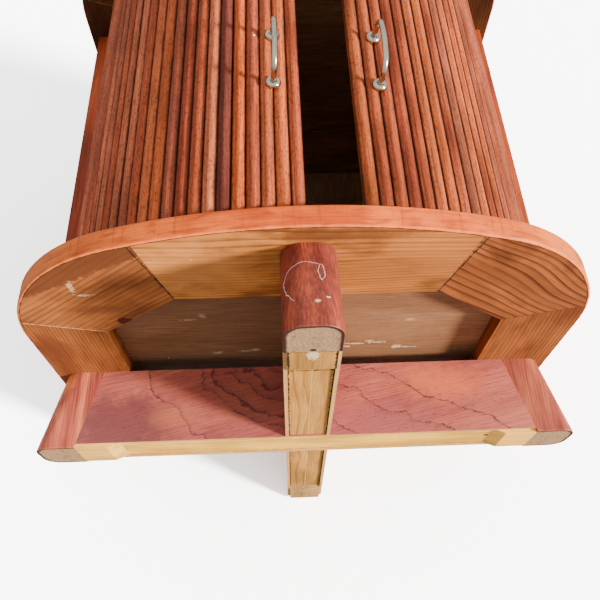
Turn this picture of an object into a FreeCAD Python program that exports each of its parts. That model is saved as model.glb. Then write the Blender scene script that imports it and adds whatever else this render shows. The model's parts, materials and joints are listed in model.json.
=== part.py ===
"""A bow-fronted tambour cabinet on a crossed-beam base.

Two reeded tambour doors run in circular grooves between two D-shaped panels. Each panel is a
thin board over a ring of mitred pine segments, lipped with a bent band. The base is two hollow
beams, halved over each other, with solid noses and small foot pads at their ends.

Frame: millimetres, +Z up, the front towards -Y, the origin under the middle of the whole cabinet
on the surface that the foot pads stand on. Cabinet positions are written from the front of the
D-shaped panels and moved back by Dims.front_to_middle.
"""
import FreeCAD, Part
import math
import os
import re
import Sketcher

V = FreeCAD.Vector

DIMENSIONS = {
    # whole cabinet
    "panel_width": 566, "panel_depth": 550, "base_height": 87, "panel_thick": 21,
    "clear_height": 468, "front_to_middle": 262.44,
    # D-shaped panels
    "front_radius": 570, "corner_radius": 160, "band_thick": 3, "board_thick": 5,
    "band_round": 1.5,
    # mitred frame: inner octagon and the places where the joints meet the outline
    "octagon_front": 110, "octagon_half_front": 123, "octagon_side": 172,
    "octagon_half_width": 200, "octagon_back": 490, "mitre_front_x": 150, "mitre_side_y": 146,
    "mitre_reach": 1.2,
    # carcass
    "side_outer": 272, "side_thick": 20, "side_front": 208, "side_back": 540,
    "back_front": 514, "back_thick": 10,
    # tambour track and slats
    "track_x": 43, "track_y": 207, "track_radius": 202, "slat_pitch": 3.6, "slat_count": 29,
    "first_slat": -10.4, "slat_width": 12, "slat_thick": 9, "slat_round": 3.2,
    "slat_end_gap": 1.2, "tongue_thick": 5, "tongue_length": 2.5, "groove_depth": 3.5,
    "groove_inner": 192.8, "groove_outer": 199.4, "groove_start": 12.6, "groove_end": 183,
    "canvas_thick": 0.8, "canvas_margin": 9, "canvas_short": 0.2, "left_rest": 0, "right_rest": 13.3,
    "threshold_height": 10, "threshold_outer": 190, "threshold_inner": 171,
    "threshold_front": 132,
    # pulls
    "left_pull_low": 252.5, "right_pull_low": 247.5, "pull_spacing": 64.5,
    "wire_radius": 2.65, "wire_reach": 26.8,
    "wire_bend": 15, "wire_crown": 1.6, "rosette_radius": 7.2, "rosette_height": 4.2,
    "screw_radius": 2, "screw_head_radius": 4, "screw_head_height": 1.8, "wire_foot_gap": 0.2,
    "screw_bite": 3, "rosette_clearance": 0.05,
    # base beams
    "long_beam_width": 48, "cross_beam_width": 56, "cross_beam_y": 300, "skin_thick": 3.5,
    "long_tip": 3, "long_end": 548, "cross_half": 297, "nose_length": 45, "nose_round": 18,
    "long_lean": 20, "cross_lean": 24, "core_lift": 6, "skin_lift": 4, "pad_length": 34,
    "pad_slope": 14, "lap_height": 46.5,
    "base_screw_x": 212, "base_screw_front": 73, "base_screw_back": 520,
    "base_screw_radius": 2.2, "base_screw_low": 52,
}

doc = FreeCAD.newDocument("TambourCabinet")
sheet = doc.addObject("Spreadsheet::Sheet", "Dims")
for row, (alias, value) in enumerate(DIMENSIONS.items(), start=1):
    sheet.set(f"A{row}", alias)
    sheet.set(f"B{row}", str(value))
    sheet.setAlias(f"B{row}", alias)
doc.recompute()

nodes = []


def bound(formula):
    """Turn plain dimension names in a formula into references to the sheet's cells."""
    def reference(match):
        word = match.group(0)
        return f"Dims.{word}" if word in DIMENSIONS else word
    return re.sub(r"[a-z]+(?:_[a-z]+)*", reference, str(formula))


def number(formula):
    """The present value of a formula."""
    return float(sheet.evalExpression(bound(formula)))


def bind(thing, name, formula):
    """Set a property from a formula that stays tied to the sheet."""
    thing.setExpression(name, bound(formula))


def place(thing, label, x="0", y="0", z="0", turn="0"):
    """Name a finished sub-part and put it at a cabinet position, turned about Z."""
    thing.Label = label
    bind(thing, "Placement.Base.x", x)
    bind(thing, "Placement.Base.y", f"{y} - front_to_middle")
    bind(thing, "Placement.Base.z", z)
    thing.Placement.Rotation = FreeCAD.Rotation(V(0, 0, 1), number(turn))
    nodes.append(thing)
    return thing


# ---- sketches and features -------------------------------------------------------------------

def new_sketch(body, role, name):
    """A sketch on one of the body's own origin planes."""
    sketch = body.newObject("Sketcher::SketchObject", name)
    plane = next(item for item in body.Origin.OriginFeatures if item.Role == role)
    sketch.AttachmentSupport = [(plane, "")]
    sketch.MapMode = "FlatFace"
    return sketch


def hold_point(sketch, edge, end, x, y):
    """Fix one end of an edge at a pair of formulas."""
    for kind, formula in (("DistanceX", x), ("DistanceY", y)):
        index = sketch.addConstraint(Sketcher.Constraint(kind, -1, 1, edge, end, number(formula)))
        bind(sketch, f"Constraints[{index}]", formula)


def arc_through(start, end, radius, clockwise):
    """The short arc from start to end with the given radius."""
    chord = end - start
    rise = math.sqrt(max(radius ** 2 - (chord.Length / 2) ** 2, 0))
    side = V(-chord.y, chord.x, 0).normalize() * (-rise if clockwise else rise)
    centre = (start + end) / 2 + side
    angles = [math.atan2(point.y - centre.y, point.x - centre.x) for point in (start, end)]
    first, last = reversed(angles) if clockwise else angles
    if last < first:
        last += 2 * math.pi
    return Part.ArcOfCircle(Part.Circle(centre, V(0, 0, 1), radius), first, last)


def outline(body, role, name, path):
    """A closed profile. Each step is (x, y), the edge's start, or (x, y, radius) for an arc.

    A positive radius bulges to the right of the way round, a negative one to the left.
    """
    sketch = new_sketch(body, role, name)
    corners = [V(number(step[0]), number(step[1]), 0) for step in path]
    ends = []
    for index, step in enumerate(path):
        start, end = corners[index], corners[(index + 1) % len(path)]
        if len(step) == 2:
            edge = sketch.addGeometry(Part.LineSegment(start, end))
            ends.append((edge, 1, 2))
            continue
        radius = number(step[2])
        edge = sketch.addGeometry(arc_through(start, end, abs(radius), radius < 0))
        ends.append((edge, 2, 1) if radius < 0 else (edge, 1, 2))
    for index, (edge, start_end, last_end) in enumerate(ends):
        next_edge, next_start, _ = ends[(index + 1) % len(ends)]
        sketch.addConstraint(Sketcher.Constraint("Coincident", edge, last_end, next_edge, next_start))
        hold_point(sketch, edge, start_end, path[index][0], path[index][1])
        if len(path[index]) == 3:
            radius = path[index][2]
            held = sketch.addConstraint(Sketcher.Constraint("Radius", edge, abs(number(radius))))
            bind(sketch, f"Constraints[{held}]", f"abs({radius})")
    return sketch


def circles(body, role, name, rounds):
    """A profile of whole circles, each (x, y, radius)."""
    sketch = new_sketch(body, role, name)
    for x, y, radius in rounds:
        circle = Part.Circle(V(number(x), number(y), 0), V(0, 0, 1), number(radius))
        edge = sketch.addGeometry(circle)
        hold_point(sketch, edge, 3, x, y)
        held = sketch.addConstraint(Sketcher.Constraint("Radius", edge, number(radius)))
        bind(sketch, f"Constraints[{held}]", radius)
    return sketch


def pad(body, sketch, length, side="One side"):
    """Extrude a profile into a solid."""
    feature = body.newObject("PartDesign::Pad", f"{body.Name}_pad")
    feature.Profile = sketch
    feature.SideType = side
    bind(feature, "Length", length)
    doc.recompute()
    return feature


def pocket(body, sketch, depth, into_positive):
    """Cut a profile into the body and make sure that it removed something."""
    before = body.Shape.Volume
    feature = body.newObject("PartDesign::Pocket", f"{body.Name}_pocket")
    feature.Profile = sketch
    feature.Reversed = into_positive
    bind(feature, "Length", depth)
    doc.recompute()
    if not body.Shape.Volume < before:
        raise RuntimeError(f"{feature.Name} cuts nothing")
    return feature


def lift(sketch, height):
    """Move a sketch along its plane's normal."""
    bind(sketch, "AttachmentOffset.Base.z", height)


def new_body(label):
    """An empty body with a readable name."""
    return doc.addObject("PartDesign::Body", label)


# ---- D-shaped panels -------------------------------------------------------------------------

def d_outline(body, name, inset, back):
    """The D profile: straight back and sides, round corners and a wide bow across the front."""
    half = f"(panel_width / 2 - {inset})"
    corner_x = "(panel_width / 2 - corner_radius)"
    run = "(front_radius - corner_radius)"
    reach = f"sqrt({run} ^ 2 - {corner_x} ^ 2)"
    corner_y = f"(front_radius - {reach})"
    bow = f"(front_radius - {inset})"
    touch_x = f"({bow} * {corner_x} / {run})"
    touch_y = f"(front_radius - {bow} * {reach} / {run})"
    corner = f"corner_radius - {inset}"
    return outline(body, "XY_Plane", name, [
        (f"-{half}", back), (f"-{half}", corner_y, corner), (f"-{touch_x}", touch_y, bow),
        (touch_x, touch_y, corner), (half, corner_y), (half, back)])


def groove(body, name, side, height, depth, into_positive):
    """A circular track for one door, from the middle of the front round to the back."""
    def on_circle(radius, angle):
        return (f"{side} * (track_x + {radius} * sin({angle}))",
                f"track_y - {radius} * cos({angle})")
    inner, outer = "groove_inner", "groove_outer"
    halfway = "((groove_end - groove_start) / 2)"
    path = [
        on_circle(outer, "-groove_start") + (f"{side} * {outer}",),
        on_circle(outer, halfway) + (f"{side} * {outer}",),
        on_circle(outer, "groove_end"),
        on_circle(inner, "groove_end") + (f"-{side} * {inner}",),
        on_circle(inner, halfway) + (f"-{side} * {inner}",),
        on_circle(inner, "-groove_start")]
    sketch = outline(body, "XY_Plane", name, path)
    lift(sketch, height)
    pocket(body, sketch, depth, into_positive)


def grooves(body, height, into_positive, doors=("left", "right")):
    """The tracks of the named doors."""
    for name in doors:
        side = -1 if name == "left" else 1
        groove(body, f"{body.Name}_{name}_groove", side, height, "groove_depth", into_positive)


def panel_band(label, z):
    """The bent lipping round the front and sides of a panel, its outer arrises eased."""
    body = new_body(label)
    outer = d_outline(body, f"{label}_outer", "0", "panel_depth")
    pad(body, outer, "panel_thick")
    inner = d_outline(body, f"{label}_inner", "band_thick", "panel_depth + band_thick")
    ring = pocket(body, inner, "panel_thick", True)
    arrises = []
    for index, edge in enumerate(body.Shape.Edges, start=1):
        middle = edge.valueAt((edge.FirstParameter + edge.LastParameter) / 2)
        on_outline = outer.Shape.distToShape(Part.Vertex(middle.x, middle.y, 0))[0] < 1e-4
        if edge.BoundBox.ZLength < 1e-6 and on_outline and edge.Length > number("panel_thick"):
            arrises.append(f"Edge{index}")
    fillet = body.newObject("PartDesign::Fillet", f"{label}_eased")
    fillet.Base = (ring, arrises)
    bind(fillet, "Radius", "band_round")
    doc.recompute()
    return place(body, label, z=z)


def frame_segment(label, corners, z, doors):
    """One mitred pine segment: the D layer cut to a wedge, grooved for the doors it carries."""
    body = new_body(label)
    thick = "panel_thick - board_thick"
    pad(body, d_outline(body, f"{label}_layer", "band_thick", "panel_depth"), thick)
    keep = outline(body, "XY_Plane", f"{label}_keep", corners)
    reach_x, reach_y = number("panel_width"), 2 * number("panel_depth")
    round_it = [V(-reach_x, -reach_y, 0), V(reach_x, -reach_y, 0), V(reach_x, reach_y, 0),
                V(-reach_x, reach_y, 0)]
    for start, end in zip(round_it, round_it[1:] + round_it[:1]):
        keep.addGeometry(Part.LineSegment(start, end))
    pocket(body, keep, thick, True)
    grooves(body, "0", True, doors)
    return place(body, label, z=z)


def mitred_frame(prefix, z, grooved):
    """The six segments round the octagon, grooved for the doors if they hang under it."""
    far = "panel_width"
    front_x, side_y = "mitre_front_x", "mitre_side_y"
    inner_x, half = "octagon_half_front", "octagon_half_width"
    front, side, back = "octagon_front", "octagon_side", "octagon_back"
    outer_x = f"({inner_x} + ({front_x} - {inner_x}) * mitre_reach)"
    outer_y = f"({front} - {front} * mitre_reach)"
    flank_x = f"({half} + (panel_width / 2 - {half}) * mitre_reach)"
    flank_y = f"({side} - ({side} - {side_y}) * mitre_reach)"
    corner_y = f"({back} + (panel_depth - {back}) * mitre_reach)"
    frame_segment(f"{prefix}_frame_front", [
        (f"-{outer_x}", outer_y), (outer_x, outer_y), (inner_x, front), (f"-{inner_x}", front)],
        z, ("left", "right") if grooved else ())
    frame_segment(f"{prefix}_frame_back", [
        (f"-{half}", back), (half, back), (flank_x, corner_y), (f"-{flank_x}", corner_y)],
        z, ())
    for sign, name in (("-", "left"), ("", "right")):
        quarter = [(f"{sign}{inner_x}", front), (f"{sign}{outer_x}", outer_y),
                   (f"{sign}{far}", outer_y), (f"{sign}{flank_x}", flank_y), (f"{sign}{half}", side)]
        flank = [(f"{sign}{half}", side), (f"{sign}{flank_x}", flank_y),
                 (f"{sign}{flank_x}", corner_y), (f"{sign}{half}", back)]
        if sign:
            quarter.reverse()
            flank.reverse()
        own_door = (name,) if grooved else ()
        frame_segment(f"{prefix}_frame_front_{name}", quarter, z, own_door)
        frame_segment(f"{prefix}_frame_{name}", flank, z, own_door)


def panel_board(label, z, grooved):
    """The thin D-shaped board of a panel."""
    body = new_body(label)
    pad(body, d_outline(body, f"{label}_outline", "band_thick", "panel_depth"), "board_thick")
    if grooved:
        grooves(body, "board_thick", False)
    return place(body, label, z=z)


def octagon_lining(label, z):
    """The board that fills the top frame's octagon and carries the back of the tracks."""
    body = new_body(label)
    half_front, half = "octagon_half_front", "octagon_half_width"
    shape = outline(body, "XY_Plane", f"{label}_outline", [
        (f"-{half_front}", "octagon_front"), (half_front, "octagon_front"),
        (half, "octagon_side"), (half, "octagon_back"), (f"-{half}", "octagon_back"),
        (f"-{half}", "octagon_side")])
    pad(body, shape, "panel_thick - board_thick")
    grooves(body, "0", True)
    return place(body, label, z=z)


# ---- carcass ---------------------------------------------------------------------------------

def box(label, size, corner):
    """A plain board."""
    board = doc.addObject("Part::Box", label)
    for name, formula in zip(("Length", "Width", "Height"), size):
        bind(board, name, formula)
    return place(board, label, *corner)


def threshold(label, z):
    """The curved rail on the floor that follows the inside of both doors across the front."""
    def double_disc(name, radius):
        discs = []
        for side in (-1, 1):
            disc = doc.addObject("Part::Cylinder", f"{name}_{'left' if side < 0 else 'right'}")
            bind(disc, "Radius", radius)
            bind(disc, "Height", "threshold_height")
            bind(disc, "Placement.Base.x", f"{side} * track_x")
            bind(disc, "Placement.Base.y", "track_y")
            discs.append(disc)
        joined = doc.addObject("Part::Fuse", name)
        joined.Base, joined.Tool = discs
        return joined

    ring = doc.addObject("Part::Cut", f"{label}_ring")
    ring.Base = double_disc(f"{label}_outer", "threshold_outer")
    ring.Tool = double_disc(f"{label}_inner", "threshold_inner")
    front = doc.addObject("Part::Box", f"{label}_front")
    bind(front, "Length", "2 * side_front")
    bind(front, "Width", "threshold_front")
    bind(front, "Height", "threshold_height")
    bind(front, "Placement.Base.x", "-side_front")
    rail = doc.addObject("Part::Common", label)
    rail.Base, rail.Tool = ring, front
    return place(rail, label, z=z)


# ---- doors -----------------------------------------------------------------------------------

def slat_shape():
    """One slat on the circle's radius along -Y: eased outer arrises and a tongue at each end."""
    width, thick = number("slat_width"), number("slat_thick")
    outer = number("track_radius")
    tall = number("clear_height") - 2 * number("slat_end_gap")
    slat = Part.makeBox(width, thick, tall, V(-width / 2, -outer, number("slat_end_gap")))
    arrises = [edge for edge in slat.Edges
               if edge.BoundBox.ZLength > tall / 2 and edge.BoundBox.YMax < -outer + 1e-3]
    slat = slat.makeFillet(number("slat_round"), arrises)
    inner_face = outer - thick
    tongue_tall = number("clear_height") + 2 * number("tongue_length")
    tongue = Part.makeBox(width, number("tongue_thick"), tongue_tall,
                          V(-width / 2, -inner_face - number("tongue_thick"),
                            -number("tongue_length")))
    return slat.fuse(tongue).removeSplitter()


def on_door(feature, label, side, shapes):
    """Give a Part::Feature its shape and put it on a door's circle."""
    feature.Shape = Part.makeCompound(shapes)
    return place(feature, label, f"{side} * track_x", "track_y", "base_height + panel_thick")


def turned(shape, side, angle):
    """A copy of a shape, turned about the circle's own axis."""
    copy = shape.copy()
    copy.rotate(V(0, 0, 0), V(0, 0, 1), side * angle)
    return copy


def slats(label, side, rest, first, last):
    """Slats first to last of a door, each a separate solid."""
    one = slat_shape()
    shapes = [turned(one, side, number("first_slat") + rest + index * number("slat_pitch"))
              for index in range(first, last)]
    return on_door(doc.addObject("Part::Feature", label), label, side, shapes)


def canvas(label, side, rest):
    """The cloth that joins the slats, a thin strip of a tube glued to their inner faces."""
    outer = number("track_radius") - number("slat_thick")
    inner = outer - number("canvas_thick")
    margin = number("canvas_margin")
    tall = number("clear_height") - 2 * margin
    pitch, short = number("slat_pitch"), number("canvas_short")
    span = pitch * number("slat_count") - 2 * short
    start = number("first_slat") - pitch / 2 + short + rest
    tube = Part.makeCylinder(outer, tall, V(0, 0, margin), V(0, 0, 1), span)
    tube = tube.cut(Part.makeCylinder(inner, tall, V(0, 0, margin), V(0, 0, 1), 360))
    first_edge = start if side > 0 else start + span
    tube.rotate(V(0, 0, 0), V(0, 0, 1), -90 + side * first_edge)
    return on_door(doc.addObject("Part::Feature", label), label, side, [tube])


def pull_angle(rest):
    """The pull stands on the joint between the second and third slats."""
    return number("first_slat") + 1.5 * number("slat_pitch") + rest


def pull_low(side):
    """Height of a pull's low foot above the bottom panel; the two doors' pulls differ a little."""
    name = "left_pull_low" if side < 0 else "right_pull_low"
    return f"({name} - base_height - panel_thick)"


def pull_bow(label, side, rest):
    """The bent wire of a pull: two legs, two round bends and a slightly crowned grip."""
    body = new_body(label)
    foot, reach = "(track_radius + wire_foot_gap)", "(track_radius + wire_reach)"
    bend, spread = "wire_bend", "pull_spacing"
    low = pull_low(side)
    path = new_sketch(body, "YZ_Plane", f"{label}_path")
    y_foot, y_bend, y_grip = (-number(item) for item in
                              (foot, f"{reach} - {bend}", reach))
    z_low, z_high = number(low), number(f"{low} + {spread}")
    radius, crown = number(bend), number("wire_crown")
    points = [V(y_foot, z_low, 0), V(y_bend, z_low, 0), V(y_grip, z_low + radius, 0),
              V(y_grip, z_high - radius, 0), V(y_bend, z_high, 0), V(y_foot, z_high, 0)]
    diagonal = radius * math.sqrt(0.5)
    low_turn = V(y_bend - diagonal, z_low + radius - diagonal, 0)
    high_turn = V(y_bend - diagonal, z_high - radius + diagonal, 0)
    middle = V(y_grip - crown, (z_low + z_high) / 2, 0)
    path.addGeometry([
        Part.LineSegment(points[0], points[1]),
        Part.Arc(points[1], low_turn, points[2]),
        Part.Arc(points[2], middle, points[3]),
        Part.Arc(points[3], high_turn, points[4]),
        Part.LineSegment(points[4], points[5])])
    for edge in range(5):
        path.addConstraint(Sketcher.Constraint("Block", edge))
    ring = circles(body, "XZ_Plane", f"{label}_ring", [("0", low, "wire_radius")])
    lift(ring, foot)
    sweep = body.newObject("PartDesign::AdditivePipe", f"{label}_sweep")
    sweep.Profile = ring
    sweep.Spine = (path, [f"Edge{edge}" for edge in range(1, 6)])
    sweep.Transition = "Transformed"
    doc.recompute()
    return place(body, label, f"{side} * track_x", "track_y", "base_height + panel_thick",
                 side * pull_angle(rest))


def pull_rosettes(label, side, rest):
    """The two small domed cups that the wire stands in."""
    radius, height = number("rosette_radius"), number("rosette_height")
    face = number("track_radius")
    low = number(pull_low(side))
    bore = number("wire_radius") + number("rosette_clearance")
    profile = Part.Wire([
        Part.LineSegment(V(bore, 0, 0), V(radius, 0, 0)).toShape(),
        Part.LineSegment(V(radius, 0, 0), V(radius, height * 0.25, 0)).toShape(),
        Part.Arc(V(radius, height * 0.25, 0), V(radius * 0.84, height * 0.72, 0),
                 V(radius * 0.55, height, 0)).toShape(),
        Part.LineSegment(V(radius * 0.55, height, 0), V(bore, height * 0.86, 0)).toShape(),
        Part.LineSegment(V(bore, height * 0.86, 0), V(bore, 0, 0)).toShape()])
    cup = Part.Face(profile).revolve(V(0, 0, 0), V(0, 1, 0), 360)
    shapes = []
    for step in (0, number("pull_spacing")):
        one = cup.copy()
        one.rotate(V(0, 0, 0), V(0, 0, 1), 180)
        one.translate(V(0, -face, low + step))
        shapes.append(turned(one, side, pull_angle(rest)))
    return on_door(doc.addObject("Part::Feature", label), label, side, shapes)


def pull_screws(label, side, rest):
    """The two screws that hold a pull from inside, driven into the wire's feet."""
    face = number("track_radius")
    inside = face - number("slat_thick") - number("canvas_thick")
    low = number(pull_low(side))
    length = face + number("wire_foot_gap") + number("screw_bite") - inside
    shapes = []
    for step in (0, number("pull_spacing")):
        head = Part.makeCylinder(number("screw_head_radius"), number("screw_head_height"),
                                 V(0, -inside + number("screw_head_height"), low + step),
                                 V(0, -1, 0))
        shank = Part.makeCylinder(number("screw_radius"), length,
                                  V(0, -inside, low + step), V(0, -1, 0))
        shapes.append(turned(head.fuse(shank).removeSplitter(), side, pull_angle(rest)))
    return on_door(doc.addObject("Part::Feature", label), label, side, shapes)


def door(name, side, rest_name):
    """All the pieces of one tambour door, opened by its rest angle."""
    rest = number(rest_name)
    slats(f"{name}_door_lead_slat", side, rest, 0, 1)
    slats(f"{name}_door_slats", side, rest, 1, int(number("slat_count")))
    canvas(f"{name}_door_canvas", side, rest)
    pull_bow(f"{name}_pull_bow", side, rest)
    pull_rosettes(f"{name}_pull_rosettes", side, rest)
    pull_screws(f"{name}_pull_screws", side, rest)


# ---- base ------------------------------------------------------------------------------------

def nose(label, width, lean, x, y, turn):
    """A solid beam end, tip towards its own -Y, leaning in as it rises from the floor."""
    body = new_body(label)
    half, curve = f"{width} / 2", "nose_round"
    start = f"({half} - {curve})"
    profile = outline(body, "XY_Plane", f"{label}_plan", [
        (f"-{half}", "0"), (f"-{half}", f"{curve} - nose_length", curve),
        (f"-{start}", "-nose_length"), (start, "-nose_length", curve),
        (half, f"{curve} - nose_length"), (half, "0")])
    block = pad(body, profile, "base_height")
    block.UseCustomVector = True
    block.Direction = V(0, number(lean), number("base_height"))
    bind(block, "Direction.y", lean)
    bind(block, "Direction.z", "base_height")
    return place(body, label, x, y, turn=turn)


def side_profile(label, role, path, width, lift_by="0"):
    """A piece drawn from the side and padded evenly about its middle plane."""
    body = new_body(label)
    sketch = outline(body, role, f"{label}_side", path)
    if lift_by != "0":
        lift(sketch, lift_by)
    pad(body, sketch, width, "Symmetric")
    return body


def leaning(floor, lean, height, sign="+"):
    """A position on a leaning joint at the given height."""
    return f"({floor} {sign} {lean} * {height} / base_height)"


def long_beam():
    """The front-to-back beam: core, two skins in halves, nose and two pads."""
    joint = "(long_tip + nose_length)"
    core_width = "(long_beam_width - 2 * skin_thick)"
    near = "(cross_beam_y - cross_beam_width / 2)"
    far = "(cross_beam_y + cross_beam_width / 2)"
    top, lap, end = "base_height", "lap_height", "long_end"
    core = side_profile("base_core_front_back", "YZ_Plane", [
        (leaning(joint, "long_lean", "core_lift"), "core_lift"), (near, "core_lift"),
        (near, lap), (far, lap), (far, "core_lift"), (end, "core_lift"), (end, top),
        (leaning(joint, "long_lean", top), top)], core_width)
    place(core, "base_core_front_back")
    for sign, name in (("-", "left"), ("", "right")):
        front = side_profile(f"base_skin_{name}_front", "YZ_Plane", [
            (leaning(joint, "long_lean", "skin_lift"), "skin_lift"), (near, "skin_lift"),
            (near, top), (leaning(joint, "long_lean", top), top)], "skin_thick")
        rear = side_profile(f"base_skin_{name}_rear", "YZ_Plane", [
            (far, "skin_lift"), (end, "skin_lift"), (end, top), (far, top)], "skin_thick")
        middle = f"{sign}({core_width} + skin_thick) / 2"
        place(front, f"base_skin_{name}_front", middle)
        place(rear, f"base_skin_{name}_rear", middle)
    nose("base_nose_front", "long_beam_width", "long_lean", "0", joint, "0")
    front_pad = side_profile("base_pad_front", "YZ_Plane", [
        (joint, "0"), (f"{joint} + pad_length", "0"),
        (f"{joint} + pad_length + pad_slope", "core_lift"),
        (leaning(joint, "long_lean", "core_lift"), "core_lift")], core_width)
    place(front_pad, "base_pad_front")
    back_pad = side_profile("base_pad_back", "YZ_Plane", [
        (f"{end} - pad_length - pad_slope", "core_lift"), (f"{end} - pad_length", "0"),
        (end, "0"), (end, "core_lift")], core_width)
    place(back_pad, "base_pad_back")


def cross_beam():
    """The left-to-right beam, halved under the long one: core, two skins, noses and pads."""
    joint = "(cross_half - nose_length)"
    core_width = "(cross_beam_width - 2 * skin_thick)"
    notch = "(long_beam_width / 2 - skin_thick)"
    top, lap = "base_height", "lap_height"

    def notched(low):
        low_x = leaning(joint, "cross_lean", low, "-")
        top_x = leaning(joint, "cross_lean", top, "-")
        return [(f"-{low_x}", low), (low_x, low), (top_x, top), (notch, top), (notch, lap),
                (f"-{notch}", lap), (f"-{notch}", top), (f"-{top_x}", top)]

    core = side_profile("base_core_left_right", "XZ_Plane", notched("core_lift"), core_width)
    place(core, "base_core_left_right", y="cross_beam_y")
    for sign, name in (("-", "front"), ("+", "back")):
        skin = side_profile(f"base_skin_{name}", "XZ_Plane", notched("skin_lift"), "skin_thick")
        place(skin, f"base_skin_{name}", y=f"cross_beam_y {sign} ({core_width} + skin_thick) / 2")
    for sign, name, turn in (("-", "left", "-90"), ("", "right", "90")):
        nose(f"base_nose_{name}", "cross_beam_width", "cross_lean",
             f"{sign}{joint}", "cross_beam_y", turn)
        path = [(f"{sign}{joint}", "0"),
                (f"{sign}{leaning(joint, 'cross_lean', 'core_lift', '-')}", "core_lift"),
                (f"{sign}({joint} - pad_length - pad_slope)", "core_lift"),
                (f"{sign}({joint} - pad_length)", "0")]
        if sign:
            path.reverse()
        foot = side_profile(f"base_pad_{name}", "XZ_Plane", path, core_width)
        place(foot, f"base_pad_{name}", y="cross_beam_y")


def base_screws(label):
    """Four screws down through the bottom frame into the beams, their heads under the board."""
    low, head_height = number("base_screw_low"), number("screw_head_height")
    top = number("base_height") + number("panel_thick") - number("board_thick")
    spots = [(0, number("base_screw_front")), (0, number("base_screw_back")),
             (-number("base_screw_x"), number("cross_beam_y")),
             (number("base_screw_x"), number("cross_beam_y"))]
    shapes = []
    for x, y in spots:
        shank = Part.makeCylinder(number("base_screw_radius"), top - low, V(x, y, low))
        head = Part.makeCylinder(number("screw_head_radius"), head_height,
                                 V(x, y, top - head_height))
        shapes.append(shank.fuse(head).removeSplitter())
    feature = doc.addObject("Part::Feature", label)
    feature.Shape = Part.makeCompound(shapes)
    return place(feature, label)


# ---- assembly --------------------------------------------------------------------------------

def build():
    """Make every sub-part, from the floor up."""
    long_beam()
    cross_beam()
    base_screws("base_screws")
    floor = "base_height + panel_thick"
    ceiling = f"{floor} + clear_height"
    mitred_frame("bottom", "base_height", False)
    panel_board("bottom_board", "base_height + panel_thick - board_thick", True)
    panel_band("bottom_edge_band", "base_height")
    mitred_frame("top", ceiling, True)
    octagon_lining("top_lining", ceiling)
    panel_board("top_board", f"{ceiling} + panel_thick - board_thick", False)
    panel_band("top_edge_band", ceiling)
    side_size = ("side_thick", "side_back - side_front", "clear_height")
    box("side_panel_left", side_size, ("-side_outer", "side_front", floor))
    box("side_panel_right", side_size, ("side_outer - side_thick", "side_front", floor))
    box("back_panel", ("2 * (side_outer - side_thick)", "back_thick", "clear_height"),
        ("side_thick - side_outer", "back_front", floor))
    threshold("threshold_rail", floor)
    door("left", -1, "left_rest")
    door("right", 1, "right_rest")
    doc.recompute()


def write_parts():
    """Check every object and write each sub-part to its own file."""
    for thing in doc.Objects:
        if "Invalid" in thing.State or "Error" in thing.State:
            raise RuntimeError(f"{thing.Label} failed: {thing.State}")
    os.makedirs("parts", exist_ok=True)
    whole = FreeCAD.BoundBox()
    for node in nodes:
        shape = node.Shape
        if shape.isNull() or not shape.isValid() or not shape.Solids:
            raise RuntimeError(f"{node.Label} has no valid solid")
        shape.exportStep(f"parts/{node.Label}.step")
        whole.add(shape.BoundBox)
    print(f"{len(nodes)} sub-parts, {whole}")


build()
write_parts()
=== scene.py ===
"""Looks of a bow-fronted tambour cabinet that stands on a crossed-beam base.

Everything is in metres in the cabinet's own frame: +Z up, the front towards -Y, the feet at z=0.
"""

import json
import logging
import math
import random
from dataclasses import dataclass
from enum import Enum
from typing import Sequence, Union

import bpy
from mathutils import Euler, Matrix, Vector

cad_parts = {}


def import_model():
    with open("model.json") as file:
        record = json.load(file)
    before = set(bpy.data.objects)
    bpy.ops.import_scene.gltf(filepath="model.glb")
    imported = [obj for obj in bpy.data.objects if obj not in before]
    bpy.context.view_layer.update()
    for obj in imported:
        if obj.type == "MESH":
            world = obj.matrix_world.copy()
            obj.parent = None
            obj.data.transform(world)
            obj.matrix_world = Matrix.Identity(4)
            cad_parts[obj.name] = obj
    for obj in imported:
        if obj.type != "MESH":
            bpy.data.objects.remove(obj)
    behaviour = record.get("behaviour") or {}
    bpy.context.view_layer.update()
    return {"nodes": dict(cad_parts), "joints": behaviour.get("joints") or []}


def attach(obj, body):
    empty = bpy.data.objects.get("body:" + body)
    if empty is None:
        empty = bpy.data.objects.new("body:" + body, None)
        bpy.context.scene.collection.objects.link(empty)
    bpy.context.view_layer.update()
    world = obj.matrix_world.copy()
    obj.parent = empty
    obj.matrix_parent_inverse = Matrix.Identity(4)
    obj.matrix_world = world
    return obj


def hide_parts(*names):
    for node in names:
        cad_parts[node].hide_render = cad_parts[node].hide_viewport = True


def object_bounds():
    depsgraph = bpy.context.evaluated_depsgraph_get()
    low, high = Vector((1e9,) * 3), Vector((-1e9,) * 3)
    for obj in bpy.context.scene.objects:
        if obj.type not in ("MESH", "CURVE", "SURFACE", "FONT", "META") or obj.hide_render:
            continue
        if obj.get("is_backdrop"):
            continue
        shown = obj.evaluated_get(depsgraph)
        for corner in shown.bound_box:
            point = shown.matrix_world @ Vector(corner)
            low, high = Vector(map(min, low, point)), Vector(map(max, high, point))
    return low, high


log = logging.getLogger("cabinet")

Triple = tuple[float, float, float]
Colour = Triple
Pair = tuple[float, float]
Feed = Union[float, Sequence[float], "Wire"]

MM = 0.001
FRONT_TO_MIDDLE = 0.26244
SPECK: Colour = (0.9, 0.86, 0.8)


def scaled(colour: Colour, gain: float) -> Colour:
    """A colour made lighter or darker."""
    return tuple(gain * part for part in colour)


# ---- wiring shader nodes ---------------------------------------------------------------------

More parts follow.
